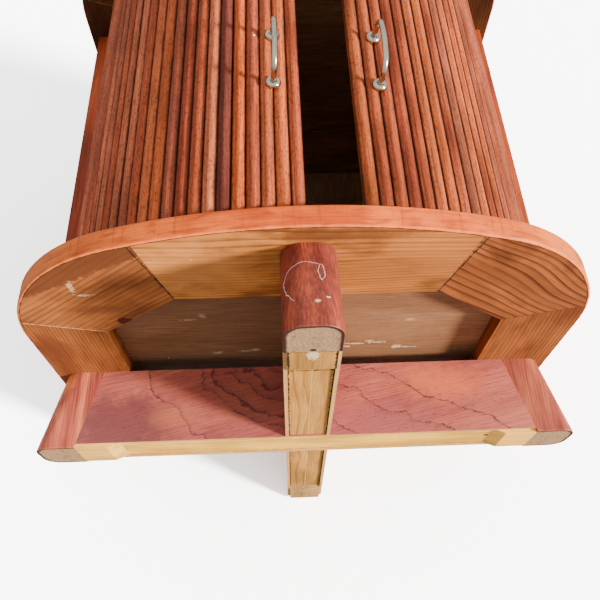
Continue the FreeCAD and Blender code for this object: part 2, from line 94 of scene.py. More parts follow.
class Wire:
    """A value in a node tree, with arithmetic that adds the nodes it needs."""

    def __init__(self, wiring: "Wiring", socket: bpy.types.NodeSocket) -> None:
        """Keep the tree's wiring and the socket that gives the value."""
        self.wiring = wiring
        self.socket = socket

    def math(self, operation: str, *others: Feed) -> "Wire":
        """Work out one number from this one and up to two more.

        Args:
            operation: The Math node's operation.
            *others: The other operands.

        Returns:
            The result.
        """
        made = self.wiring.node("ShaderNodeMath", operation=operation)
        for socket, value in zip(made.inputs, (self, *others)):
            self.wiring.feed(socket, value)
        return Wire(self.wiring, made.outputs[0])

    def __add__(self, other: Feed) -> "Wire":
        """The sum."""
        return self.math("ADD", other)

    def __sub__(self, other: Feed) -> "Wire":
        """The difference."""
        return self.math("SUBTRACT", other)

    def __mul__(self, other: Feed) -> "Wire":
        """The product."""
        return self.math("MULTIPLY", other)

    def __truediv__(self, other: Feed) -> "Wire":
        """The quotient."""
        return self.math("DIVIDE", other)

    def __lt__(self, other: Feed) -> "Wire":
        """One where this is the smaller."""
        return self.math("LESS_THAN", other)

    def __gt__(self, other: Feed) -> "Wire":
        """One where this is the greater."""
        return self.math("GREATER_THAN", other)

    def __abs__(self) -> "Wire":
        """The size without the sign."""
        return self.math("ABSOLUTE")

    def times(self, factor: Feed, more: Feed) -> "Wire":
        """The product with one number plus another."""
        return self.math("MULTIPLY_ADD", factor, more)

    def vector(self, operation: str, other: Feed = (0.0, 0.0, 0.0)) -> "Wire":
        """Work out a vector from this one and another.

        Args:
            operation: The Vector Math node's operation.
            other: The second operand.

        Returns:
            The result, a number for LENGTH, DISTANCE and DOT_PRODUCT.
        """
        made = self.wiring.node("ShaderNodeVectorMath", operation=operation)
        self.wiring.feed(made.inputs[0], self)
        self.wiring.feed(made.inputs[1], other)
        gives_number = operation in ("LENGTH", "DISTANCE", "DOT_PRODUCT")
        return Wire(self.wiring, made.outputs["Value" if gives_number else "Vector"])

    def stretch(self, x: float, y: float, z: float) -> "Wire":
        """Multiply a place by a different number along each axis."""
        return self.vector("MULTIPLY", (x, y, z))

    def parts(self) -> tuple["Wire", "Wire", "Wire"]:
        """Take a vector apart into its three numbers."""
        made = self.wiring.node("ShaderNodeSeparateXYZ")
        self.wiring.feed(made.inputs[0], self)
        return tuple(Wire(self.wiring, socket) for socket in made.outputs)

    def span(self, low: Feed, high: Feed, to_low: Feed = 0.0, to_high: Feed = 1.0) -> "Wire":
        """Map a range of values onto another with soft ends.

        Args:
            low: Where the change starts.
            high: Where the change ends.
            to_low: The result at the start and before it.
            to_high: The result at the end and after it.

        Returns:
            The mapped value.
        """
        made = self.wiring.node("ShaderNodeMapRange", interpolation_type="SMOOTHSTEP")
        for name, number in zip(("Value", "From Min", "From Max", "To Min", "To Max"),
                                (self, low, high, to_low, to_high)):
            self.wiring.feed(made.inputs[name], number)
        return Wire(self.wiring, made.outputs[0])

    def between(self, first: Feed, last: Feed) -> "Wire":
        """Map 0 to 1 onto another range."""
        return self.span(0.0, 1.0, first, last)

    def noise(self, scale: float, detail: float = 2.0, roughness: float = 0.5,
              distortion: float = 0.0) -> "Wire":
        """A cloudy value from 0 to 1 at this place.

        Args:
            scale: Clouds to the metre.
            detail: How many finer layers are added.
            roughness: How strong the finer layers are.
            distortion: How far the clouds are pulled about.

        Returns:
            The cloudy value.
        """
        made = self.wiring.node("ShaderNodeTexNoise")
        self.wiring.feed(made.inputs["Vector"], self)
        for name, number in (("Scale", scale), ("Detail", detail), ("Roughness", roughness),
                             ("Distortion", distortion)):
            made.inputs[name].default_value = number
        return Wire(self.wiring, made.outputs["Fac"])

    def cells(self, scale: float) -> tuple["Wire", "Wire", "Wire"]:
        """Cells round scattered points.

        Args:
            scale: Cells to the metre.

        Returns:
            The distance to the cell's point and two numbers of chance for the cell.
        """
        made = self.wiring.node("ShaderNodeTexVoronoi", feature="F1")
        self.wiring.feed(made.inputs["Vector"], self)
        made.inputs["Scale"].default_value = scale
        chance, other, _ = Wire(self.wiring, made.outputs["Color"]).parts()
        return Wire(self.wiring, made.outputs["Distance"]), chance, other


class Wiring:
    """Adds nodes to one tree and joins them."""

    def __init__(self, tree: bpy.types.NodeTree) -> None:
        """Keep the tree."""
        self.tree = tree

    def node(self, kind: str, **settings: object) -> bpy.types.Node:
        """Add a node.

        Args:
            kind: Blender's name of the node's type.
            **settings: Properties to set on it.

        Returns:
            The new node.
        """
        made = self.tree.nodes.new(kind)
        for name, value in settings.items():
            setattr(made, name, value)
        return made

    def feed(self, socket: bpy.types.NodeSocket, value: Feed) -> None:
        """Join an input to a wire, or set its own value.

        Args:
            socket: The input.
            value: A wire, a number, a vector or a colour.
        """
        if isinstance(value, Wire):
            self.tree.links.new(value.socket, socket)
        elif socket.type == "RGBA":
            socket.default_value = (*value[:3], 1.0)
        else:
            socket.default_value = value

    def join(self, x: Feed, y: Feed, z: Feed) -> Wire:
        """Put three numbers together into a vector."""
        made = self.node("ShaderNodeCombineXYZ")
        for socket, value in zip(made.inputs, (x, y, z)):
            self.feed(socket, value)
        return Wire(self, made.outputs[0])

    def mix(self, factor: Feed, first: Feed, second: Feed, mode: str = "MIX") -> Wire:
        """Mix two colours.

        Args:
            factor: How much of the second one to use.
            first: First colour.
            second: Second colour.
            mode: The Mix node's blend type.

        Returns:
            The mixed colour.
        """
        made = self.node("ShaderNodeMix", data_type="RGBA", blend_type=mode, clamp_result=False)
        self.feed(made.inputs["Factor"], factor)
        self.feed(made.inputs[6], first)
        self.feed(made.inputs[7], second)
        return Wire(self, made.outputs[2])

    def shade(self, colour: Feed, grey: Wire) -> Wire:
        """Multiply a colour by a number."""
        return self.mix(1.0, colour, self.join(grey, grey, grey), "MULTIPLY")

    def attribute(self, name: str, output: str = "Fac") -> Wire:
        """Read a value that a mesh carries."""
        return Wire(self, self.node("ShaderNodeAttribute", attribute_name=name).outputs[output])

    def place(self) -> Wire:
        """The place in the piece's own coordinates, which are the cabinet's."""
        return Wire(self, self.node("ShaderNodeTexCoord").outputs["Object"])

    def facing(self) -> Wire:
        """The direction that the piece's own surface faces."""
        return Wire(self, self.node("ShaderNodeTexCoord").outputs["Normal"])

    def effect(self, effect: "Effect", **inputs: Feed) -> dict[str, Wire]:
        """Place a shared effect, at the piece's own place unless told another.

        Args:
            effect: The effect.
            **inputs: Its inputs by name.

        Returns:
            Its outputs by name.
        """
        made = self.node("ShaderNodeGroup", node_tree=EFFECTS.get(effect))
        for name, value in {"Place": self.place(), **inputs}.items():
            self.feed(made.inputs[name], value)
        return {socket.name: Wire(self, socket) for socket in made.outputs}

    def leave(self, **outputs: Wire) -> bpy.types.NodeTree:
        """Close a group with its named outputs, all plain values."""
        for name in outputs:
            self.tree.interface.new_socket(name, in_out="OUTPUT", socket_type="NodeSocketFloat")
        end = self.node("NodeGroupOutput")
        for name, value in outputs.items():
            self.feed(end.inputs[name], value)
        return self.tree


class Effect(Enum):
    """The effects that materials share, each one node group."""

    RINGS = "growth_rings"
    FIBRES = "wood_fibres"
    VEINS = "figured_veins"
    DUST = "dust_flecks"
    SEAM = "joint_line"
    BLOT = "round_stain"
    ARC = "chalk_arc"
    END_GRAIN = "end_grain"


class Effects:
    """Builds each shared effect once and hands it out."""

    def __init__(self) -> None:
        """Start with no groups built."""
        self.built: dict[Effect, bpy.types.NodeTree] = {}

    def get(self, effect: Effect) -> bpy.types.NodeTree:
        """The group for an effect, built on first use by the method of its name."""
        if effect not in self.built:
            self.built[effect] = getattr(self, effect.name.lower())()
        return self.built[effect]

    @staticmethod
    def start(effect: Effect, **inputs: Union[float, None]) -> tuple[Wiring, dict[str, Wire]]:
        """Open a new group that takes a place and more.

        Args:
            effect: The effect to open.
            **inputs: The default of each further input by name, None for a vector.

        Returns:
            The wiring and the group's inputs by name.
        """
        tree = bpy.data.node_groups.new(effect.value, "ShaderNodeTree")
        for name, default in {"Place": None, **inputs}.items():
            kind = "NodeSocketVector" if default is None else "NodeSocketFloat"
            socket = tree.interface.new_socket(name, in_out="INPUT", socket_type=kind)
            if default is not None:
                socket.default_value = default
        wiring = Wiring(tree)
        entry = wiring.node("NodeGroupInput")
        return wiring, {socket.name: Wire(wiring, socket) for socket in entry.outputs}

    def rings(self) -> bpy.types.NodeTree:
        """Growth rings round a wandering pith line that runs along the place's X.

        Returns:
            The group, with outputs Late for the dark late wood and Tone for each ring's own shade.
        """
        wiring, given = self.start(Effect.RINGS, Gap=0.004, Wander=0.01, Ripple=0.0006)
        place = given["Place"]
        _, y, z = place.parts()
        slow = place.stretch(1.0, 2.2, 2.2).noise(4.2, 1.0) - 0.5
        quick = place.stretch(1.0, 5.0, 5.0).noise(34.0) - 0.5
        pushed = (y * y + z * z).math("SQRT") + (slow * given["Wander"] + quick * given["Ripple"])
        count = pushed / given["Gap"]
        part = count.math("FRACT")
        chance = wiring.node("ShaderNodeTexWhiteNoise", noise_dimensions="1D")
        wiring.feed(chance.inputs["W"], count.math("FLOOR"))
        own = Wire(wiring, chance.outputs["Value"])
        late = part.span(0.42, 0.92) * part.span(0.93, 1.0, 1.0, 0.0) * own.between(0.35, 1.0)
        return wiring.leave(Late=late, Tone=own)

    def fibres(self) -> bpy.types.NodeTree:
        """Fine streaks, short pores and slow shading along the place's X.

        Returns:
            The group, with outputs Streak, Pores and Cloud.
        """
        wiring, given = self.start(Effect.FIBRES)
        place = given["Place"]
        return wiring.leave(
            Streak=place.stretch(0.035, 1.0, 1.0).noise(620.0, 3.0, 0.62).span(0.28, 0.74),
            Pores=place.stretch(0.16, 1.0, 1.0).noise(900.0, 1.0).span(0.6, 0.72),
            Cloud=place.stretch(0.3, 1.0, 1.0).noise(26.0, 3.0, 0.55).span(0.25, 0.75))

    def veins(self) -> bpy.types.NodeTree:
        """A dark wandering line that follows an oval round a point, with a smoky inner side.

        Returns:
            The group, with outputs Vein for the thin line and Smoke for the shade inside it.
        """
        wiring, given = self.start(Effect.VEINS, Centre=None, Reach=None, Size=1.0, Width=0.0008)
        place, reach = given["Place"], given["Reach"]
        away = place.vector("SUBTRACT", given["Centre"]).vector("DIVIDE", reach).vector("LENGTH")
        metres = (away - given["Size"]) * reach.parts()[2]
        jag = place.stretch(0.7, 1.0, 1.0).noise(130.0, 3.0, 0.6) - 0.5
        metres = jag.times(0.013, (place.noise(26.0, 1.0) - 0.5).times(0.034, metres))
        thick = place.noise(75.0, 1.0).span(0.3, 0.7, 0.35, 1.5)
        return wiring.leave(
            Vein=(abs(metres) / (given["Width"] * thick)).span(0.5, 1.4, 1.0, 0.0),
            Smoke=metres.span(-0.007, 0.0) * (metres < 0.0))

    def dust(self) -> bpy.types.NodeTree:
        """Scattered tiny pale specks.

        Returns:
            The group, with the output Dust.
        """
        wiring, given = self.start(Effect.DUST, Amount=0.35)
        place = given["Place"]
        distance, chance, size = place.cells(70.0)
        rough = place.noise(1400.0).times(0.06, distance) - 0.03
        speck = rough < size.math("POWER", 3.0) * 0.075
        return wiring.leave(Dust=speck * (chance < given["Amount"]))

    def seam(self) -> bpy.types.NodeTree:
        """A ragged line where two boards meet, on a plane through a point.

        Returns:
            The group, with outputs Line and Side, the ragged distance across the line.
        """
        wiring, given = self.start(Effect.SEAM, Point=None, Across=None, Width=0.0006)
        place = given["Place"]
        side = place.vector("SUBTRACT", given["Point"]).vector("DOT_PRODUCT", given["Across"])
        ragged = place.noise(160.0, 2.0, 0.6)
        width = given["Width"] * ragged.span(0.3, 0.7, 0.25, 1.7)
        return wiring.leave(Line=(abs(side) / width).times(-1.0, 1.0).span(0.0, 0.5),
                            Side=(ragged - 0.5).times(0.012, side))

    def blot(self) -> bpy.types.NodeTree:
        """A soft patch with a cloudy rim round a point.

        Returns:
            The group, with the output Patch.
        """
        wiring, given = self.start(Effect.BLOT, Centre=None, Scale=None, Soft=0.35, Crumble=0.0)
        place, crumble = given["Place"], given["Crumble"]
        away = place.vector("SUBTRACT", given["Centre"]).vector("DIVIDE", given["Scale"])
        both = place.noise(60.0, 3.0, 0.6) + place.noise(520.0, 2.0, 0.6) * crumble
        shaken = away.vector("LENGTH") + (both - crumble.times(0.5, 0.5)) * 0.9
        edge = given["Soft"].times(-1.0, 1.0)
        return wiring.leave(Patch=shaken.span(edge, 1.0, 1.0, 0.0))

    def arc(self) -> bpy.types.NodeTree:
        """Part of a thin wobbling ring in the XZ plane, like a stroke of chalk.

        Returns:
            The group, with the output Stroke.
        """
        wiring, given = self.start(Effect.ARC, Centre=None, Radius=0.01, Start=0.0, End=3.0,
                                   Width=0.0005)
        place = given["Place"]
        x, _, z = place.vector("SUBTRACT", given["Centre"]).parts()
        shaken = (x * x + z * z).math("SQRT") + (place.noise(190.0, 1.0) - 0.5) * 0.0028
        line = (abs(shaken - given["Radius"]) / given["Width"]).span(0.6, 1.2, 1.0, 0.0)
        angle = z.math("ARCTAN2", x)
        return wiring.leave(Stroke=line * ((angle > given["Start"]) * (angle < given["End"])))

    def end_grain(self) -> bpy.types.NodeTree:
        """Sawn end grain in the XY plane: faint arcs, open pores and saw scratches.

        Returns:
            The group, with outputs Arcs, Pores and Scratch.
        """
        wiring, given = self.start(Effect.END_GRAIN, Centre=None)
        place = given["Place"]
        away = place.vector("DISTANCE", given["Centre"]) + place.noise(90.0) * 0.003
        return wiring.leave(
            Arcs=(away * 1500.0).math("SINE").span(-0.6, 0.9),
            Pores=place.noise(1300.0, 2.0, 0.7).span(0.52, 0.66),
            Scratch=place.stretch(1.0, 0.08, 1.0).noise(1100.0, 2.0, 0.6).span(0.35, 0.7))


EFFECTS = Effects()


# ---- marks on a surface ----------------------------------------------------------------------

@dataclass(frozen=True)
class Lay:
    """How a board's grain lies: a point on its pith line and the turn from the cabinet."""

    pith: Triple
    turn: Triple = (0.0, 0.0, 0.0)

    def place(self, wiring: Wiring) -> Wire:
        """The place measured from the pith line, with the grain along X."""
        turn = Euler([math.radians(angle) for angle in self.turn])
        mapping = wiring.node("ShaderNodeMapping", vector_type="POINT")
        wiring.feed(mapping.inputs["Vector"], wiring.place())
        mapping.inputs["Rotation"].default_value = turn
        mapping.inputs["Location"].default_value = -(turn.to_matrix() @ Vector(self.pith))
        return Wire(wiring, mapping.outputs[0])


@dataclass(frozen=True)
class Line:
    """A straight line between two points of a board's face, in the XY plane."""

    start: Pair
    end: Pair
    colour: Colour

    def seen(self, wiring: Wiring, **inputs: float) -> dict[str, Wire]:
        """The line as the seam effect sees it."""
        run = Vector((self.end[0] - self.start[0], self.end[1] - self.start[1])).normalized()
        return wiring.effect(Effect.SEAM, Point=(*self.start, 0.0), Across=(-run.y, run.x, 0.0),
                             **inputs)


@dataclass(frozen=True)
class Seam(Line):
    """A glue line or open joint."""

    width: float = 0.0006

    def mask(self, wiring: Wiring) -> Wire:
        """Where the line is."""
        return self.seen(wiring, Width=self.width)["Line"]


@dataclass(frozen=True)
class Wedge(Line):
    """A stain on one side of a line."""

    strength: float = 0.7
    soft: float = 0.004

    def mask(self, wiring: Wiring) -> Wire:
        """Everything to the left of the way from start to end."""
        return self.seen(wiring)["Side"].span(0.0, self.soft, 0.0, self.strength)


@dataclass(frozen=True)
class Contour:
    """A dark vein that follows part of an oval on a veneer's face."""

    centre: Triple
    reach: Triple
    size: float
    width: float
    right: bool
    smoke: float = 0.3

    def mask(self, wiring: Wiring) -> Wire:
        """Where the vein and its shade are, on its own side of the middle."""
        vein = wiring.effect(Effect.VEINS, Centre=self.centre, Reach=self.reach, Size=self.size,
                             Width=self.width)
        x, _, _ = wiring.place().parts()
        half = x > 0.0 if self.right else x < 0.0
        return vein["Vein"].math("MAXIMUM", vein["Smoke"] * self.smoke) * half


@dataclass(frozen=True)
class Blot:
    """A stain, knot, worn spot, lump of glue, or patch of painted light or shade on a surface."""

    centre: Triple
    reach: Triple
    colour: Colour
    strength: float = 1.0
    soft: float = 0.35
    crumble: float = 0.0

    def mask(self, wiring: Wiring) -> Wire:
        """Where the patch is."""
        return wiring.effect(Effect.BLOT, Centre=self.centre, Scale=self.reach, Soft=self.soft,
                             Crumble=self.crumble)["Patch"] * self.strength


Marks = tuple[Union[Line, Blot], ...]


# ---- finishes --------------------------------------------------------------------------------

@dataclass(frozen=True)
class Look:
    """What a finish tells the surface shader; depth is how many metres a height of 1 stands for."""

    colour: Feed
    roughness: Feed
    height: Feed
    depth: float
    level: float = 0.5
    coat: float = 0.0
    coat_roughness: float = 0.03
    metallic: Feed = 0.0


@dataclass(frozen=True)
class Dressing:
    """What every finish shares: a name and the way to make, mark and dust a surface."""

    name: str

    def look(self, wiring: Wiring) -> Look:
        """Wire up the finish's looks."""
        raise NotImplementedError

    def material(self) -> bpy.types.Material:
        """Build the finish's material."""
        material = bpy.data.materials.new(self.name)
        material.use_nodes = True
        wiring = Wiring(material.node_tree)
        surface = material.node_tree.nodes["Principled BSDF"]
        look = self.look(wiring)
        for name, value in (("Base Color", look.colour), ("Roughness", look.roughness),
                            ("Metallic", look.metallic), ("Specular IOR Level", look.level),
                            ("Coat Weight", look.coat), ("Coat Roughness", look.coat_roughness)):
            wiring.feed(surface.inputs[name], value)
        bump = wiring.node("ShaderNodeBump")
        bump.inputs["Strength"].default_value = 0.8
        bump.inputs["Distance"].default_value = look.depth
        wiring.feed(bump.inputs["Height"], look.height)
        wiring.feed(surface.inputs["Normal"], Wire(wiring, bump.outputs[0]))
        return material

    @staticmethod
    def marked(wiring: Wiring, colour: Wire, marks: Marks) -> Wire:
        """Lay stains, joint lines and patches of painted light or shade over a colour."""
        for mark in marks:
            colour = wiring.mix(mark.mask(wiring), colour, mark.colour)
        return colour

    @staticmethod
    def dusty(wiring: Wiring, colour: Wire, amount: float, speck: Colour = SPECK) -> Wire:
        """Scatter dust over a colour."""
        return wiring.mix(wiring.effect(Effect.DUST, Amount=amount)["Dust"], colour, speck)


@dataclass(frozen=True)
class Pine(Dressing):
    """Sawn pine with clear rings, the grain of one board."""

    early: Colour
    late: Colour
    lay: Lay
    ring_gap: float = 0.004
    wander: float = 0.012
    contrast: float = 0.85
    age: float = 0.15
    marks: Marks = ()

    def look(self, wiring: Wiring) -> Look:
        """Wire up the finish's looks."""
        place = self.lay.place(wiring)
        rings = wiring.effect(Effect.RINGS, Place=place, Gap=self.ring_gap, Wander=self.wander)
        fibres = wiring.effect(Effect.FIBRES, Place=place)
        streak = fibres["Streak"]
        colour = wiring.mix(rings["Late"] * self.contrast, self.early, self.late)
        grey = fibres["Cloud"].between(0.7, 1.22) * streak.between(0.86, 1.1)
        colour = wiring.shade(colour, grey * rings["Tone"].between(0.92, 1.08))
        patch = place.stretch(0.5, 1.0, 1.0).noise(24.0, 4.0, 0.62)
        aged = patch.span(0.46, 0.7, 0.0, self.age)
        colour = wiring.mix(aged, colour, scaled(self.late, 0.7))
        colour = self.dusty(wiring, self.marked(wiring, colour, self.marks), 0.1)
        return Look(colour, streak.between(0.72, 0.5), rings["Late"] * 0.6 + streak * 0.4, 0.0003,
                    0.08, 0.0, 0.3)


@dataclass(frozen=True)
class Veneer(Dressing):
    """Varnished hardwood veneer, plain or with dark figure, pale ply where its edge shows."""

    base: Colour
    dark: Colour
    light: Colour
    vein: Colour
    lay: Lay
    veins: tuple[Contour, ...] = ()
    vein_strength: float = 0.75
    edge: Union[Colour, None] = None
    face: Triple = (0.0, 1.0, 0.0)
    coat: float = 0.08
    coat_roughness: float = 0.32
    dust: float = 0.1
    marks: Marks = ()

    def look(self, wiring: Wiring) -> Look:
        """Wire up the finish's looks."""
        place = self.lay.place(wiring)
        fibres = wiring.effect(Effect.FIBRES, Place=place)
        streak = fibres["Streak"]
        colour = wiring.mix(fibres["Cloud"], self.dark, self.base)
        lights = place.stretch(0.25, 1.0, 1.0).noise(17.0)
        colour = wiring.mix(lights.span(0.48, 0.72, 0.0, 0.75), colour, self.light)
        colour = wiring.shade(colour, streak.between(0.76, 1.16))
        colour = self.marked(wiring, colour, self.marks)
        for vein in self.veins:
            colour = wiring.mix(vein.mask(wiring) * self.vein_strength, colour, self.vein)
        colour = wiring.mix(fibres["Pores"] * 0.35, colour, self.vein)
        colour = self.dusty(wiring, colour, self.dust)
        if self.edge is not None:
            facing = wiring.facing().vector("DOT_PRODUCT", self.face)
            ply = wiring.mix(streak * 0.6, self.edge, scaled(self.edge, 0.45))
            colour = wiring.mix(facing < 0.5, colour, ply)
        return Look(colour, streak.between(0.6, 0.42), streak, 0.00012, 0.12, self.coat,
                    self.coat_roughness)


@dataclass(frozen=True)
class SlatWood(Dressing):
    """Reddish slat wood, each slat with the colour that its mesh carries, darkened towards its
    edges as painted shade.
    """

    pore: Colour
    # Colour of the painted shade along each slat's long edges, where the slats meet.
    grime: Colour

    def look(self, wiring: Wiring) -> Look:
        """Wire up the finish's looks."""
        own = wiring.attribute("slat_colour", "Color")
        second = wiring.attribute("slat_second", "Color")
        x, y, z = wiring.place().parts()
        shift = wiring.attribute("slat_seed") * 3.7
        place = wiring.join(z + shift, x + shift, y)
        fibres = wiring.effect(Effect.FIBRES, Place=place)
        change = place.stretch(1.0, 0.2, 0.2).noise(6.5)
        colour = wiring.mix(change.span(0.4, 0.62), own, second)
        colour = wiring.shade(colour, fibres["Streak"].between(0.74, 1.2)
                              * fibres["Cloud"].between(0.78, 1.16))
        mottle = place.stretch(0.5, 1.0, 1.0).noise(480.0, 2.0, 0.7)
        spots = mottle.span(0.5, 0.66, 0.0, 0.5).math("MAXIMUM", fibres["Pores"] * 0.45)
        colour = wiring.mix(spots, colour, self.pore)
        # Painted shade: each slat is darkened towards its two long edges, with a ragged boundary.
        edge_shade_wobble = place.stretch(0.4, 1.0, 1.0).noise(150.0)
        edge = (abs(wiring.attribute("slat_across")) + edge_shade_wobble * 0.3).span(0.78, 1.16)
        colour = wiring.mix(edge * 0.9, colour, self.grime)
        colour = self.dusty(wiring, colour, 0.16, (0.85, 0.78, 0.7))
        return Look(colour, mottle.span(0.3, 0.7, 0.46, 0.64), fibres["Streak"] - fibres["Pores"],
                    0.00016, 0.04, 0.02, 0.4)


@dataclass(frozen=True)
class BandWood(Dressing):
    """Varnished lipping whose grain follows the band round, its lower arris worn pale."""

    base: Colour
    light: Colour
    dark: Colour
    worn: Colour
    bleached: Colour
    wear: float = 1.0

    def look(self, wiring: Wiring) -> Look:
        """Wire up the finish's looks."""
        height = wiring.attribute("band_up")
        place = wiring.join(wiring.attribute("band_along"), height * 0.021, 0.0)
        fibres = wiring.effect(Effect.FIBRES, Place=place)
        cloud = place.stretch(1.0, 1.6, 1.0).noise(14.0, 3.0, 0.6)
        colour = wiring.mix(cloud.span(0.36, 0.62), self.base, self.light)
        x, _, _ = wiring.place().parts()
        colour = wiring.mix(abs(x).span(0.1, 0.25, 0.0, 0.8), colour, self.bleached)
        cross = place.stretch(1.0, 0.06, 1.0).noise(240.0, 3.0, 0.7)
        colour = wiring.mix(cross.span(0.52, 0.7, 0.0, 0.38), colour, self.dark)
        flame = place.stretch(0.3, 1.0, 1.0).noise(95.0, 3.0, 0.6, 0.8)
        colour = wiring.mix(flame.span(0.46, 0.68, 0.0, 0.5), colour, self.dark)
        colour = wiring.shade(colour, fibres["Streak"].between(0.86, 1.1))
        distance, chance, _ = place.stretch(1.0, 0.35, 1.0).cells(42.0)
        crack = (distance + place.noise(300.0) * 0.03).span(0.015, 0.045, 1.0, 0.0)
        kept = crack * (chance < 0.45)
        colour = wiring.mix(kept * 0.8, colour, scaled(self.dark, 0.25))
        ragged = place.stretch(0.5, 1.0, 1.0).noise(130.0, 3.0, 0.6) - 0.5
        worn = (height + ragged * 0.16).span(0.0, 0.06, 1.0, 0.0) * self.wear
        colour = wiring.mix(worn * 0.6, colour, self.worn)
        inner = ragged.times(0.9, wiring.attribute("band_in")).span(0.62, 0.82)
        colour = wiring.mix(inner, colour, scaled(self.dark, 0.12))
        colour = self.dusty(wiring, colour, 0.05)
        return Look(colour, cloud.span(0.3, 0.7, 0.5, 0.38), fibres["Streak"] - kept, 0.00015,
                    0.1, 0.06, 0.3)


@dataclass(frozen=True)
class NoseWood(Dressing):
    """The solid beam ends: dark red fibres up the sides and grey end grain underneath."""

    base: Colour
    dark: Colour
    light: Colour
    centre: Triple
    strokes: tuple[tuple[Triple, float, float, float], ...] = ()
    marks: Marks = ()
    grain: Colour = (0.40, 0.235, 0.115)
    grain_dark: Colour = (0.14, 0.075, 0.036)
    rim: Colour = (0.030, 0.014, 0.011)

    def look(self, wiring: Wiring) -> Look:
        """Wire up the finish's looks."""
        place = Lay(self.centre, ALONG_Z).place(wiring)
        fibres = wiring.effect(Effect.FIBRES, Place=place)
        streak = fibres["Streak"]
        colour = wiring.mix(fibres["Cloud"], self.dark, self.base)
        broad = place.stretch(0.12, 1.0, 1.0).noise(75.0)
        colour = wiring.mix(broad.span(0.5, 0.68, 0.0, 0.8), colour, self.light)
        colour = wiring.mix(broad.span(0.3, 0.46, 0.75, 0.0), colour, self.dark)
        colour = wiring.shade(colour, streak.between(0.72, 1.2))
        for centre, radius, start, end in self.strokes:
            stroke = wiring.effect(Effect.ARC, Centre=centre, Radius=radius, Start=start, End=end,
                                   Width=0.0002)["Stroke"]
            colour = wiring.mix(stroke * 0.6, colour, (0.9, 0.82, 0.75))
        colour = self.dusty(wiring, colour, 0.25)
        sawn = wiring.effect(Effect.END_GRAIN, Centre=self.centre)
        under = wiring.attribute("under")
        below = under.span(0.35, 0.65)
        underside = self.underside(wiring, sawn)
        colour = self.marked(wiring, wiring.mix(below, colour, underside), self.marks)
        rough = under.span(0.35, 0.65, streak.between(0.5, 0.38), 0.85)
        return Look(colour, rough, streak + under * sawn["Pores"], 0.00018, 0.12, 0.08, 0.35)

    def underside(self, wiring: Wiring, sawn: dict[str, Wire]) -> Wire:
        """The sawn face underneath.

        Args:
            wiring: The material's wiring.
            sawn: The outputs of the end grain.

        Returns:
            Its colour.
        """
        colour: Feed = self.grain
        for name, strength in (("Arcs", 0.25), ("Pores", 0.6), ("Scratch", 0.3)):
            colour = wiring.mix(sawn[name] * strength, colour, self.grain_dark)
        blotch = wiring.place().noise(95.0, 3.0, 0.65)
        colour = wiring.mix(blotch.span(0.5, 0.68, 0.0, 0.55), colour, self.grain_dark)
        ragged = wiring.place().noise(210.0, 3.0, 0.65) - 0.5
        shaken = wiring.attribute("inset") + ragged * 2.6
        return wiring.mix(shaken.span(1.4, 3.8, 1.0, 0.0), colour, self.rim)


@dataclass(frozen=True)
class Nickel(Dressing):
    """Polished nickel, a little cloudy and brown in its hollows."""

    base: Colour = (0.47, 0.42, 0.33)
    tarnish: Colour = (0.17, 0.12, 0.07)

    def look(self, wiring: Wiring) -> Look:
        """Wire up the finish's looks."""
        cloud = wiring.place().noise(130.0, 3.0, 0.6)
        spots = wiring.place().noise(700.0, 2.0, 0.7)
        colour = wiring.mix(cloud.span(0.45, 0.75, 0.0, 0.5), self.base, self.tarnish)
        colour = wiring.mix(spots.span(0.62, 0.72, 0.0, 0.7), colour, self.tarnish)
        return Look(colour, cloud.span(0.3, 0.7, 0.14, 0.3), spots, 0.00004, metallic=1.0)


@dataclass(frozen=True)
class Cloth(Dressing):
    """Coarse brown backing canvas, woven square to the slats."""

    base: Colour = (0.09, 0.055, 0.03)
    hollow: Colour = (0.03, 0.018, 0.01)

    def look(self, wiring: Wiring) -> Look:
        """Wire up the finish's looks."""
        x, y, z = wiring.place().parts()
        warp = ((x + y) * 5200.0).math("SINE")
        weave = (warp * (z * 5200.0).math("SINE")).span(-0.6, 0.6)
        shade = wiring.place().noise(22.0, 3.0).span(0.3, 0.7, 0.75, 1.2)
        colour = wiring.shade(wiring.mix(weave, self.hollow, self.base), shade)
        return Look(colour, weave.between(0.95, 0.85), weave, 0.0003, 0.15, 0.0, 0.5)


@dataclass(frozen=True)
class ScrewSteel(Dressing):
    """Dull zinc-grey steel with rust in patches."""

    base: Colour = (0.42, 0.41, 0.38)
    rust: Colour = (0.17, 0.07, 0.03)

    def look(self, wiring: Wiring) -> Look:
        """Wire up the finish's looks."""
        patch = wiring.place().noise(260.0, 4.0, 0.65)
        where = patch.span(0.45, 0.65)
        return Look(wiring.mix(where, self.base, self.rust), where.between(0.38, 0.85), patch,
                    0.0001, metallic=where.between(1.0, 0.1))


# ---- making meshes ---------------------------------------------------------------------------

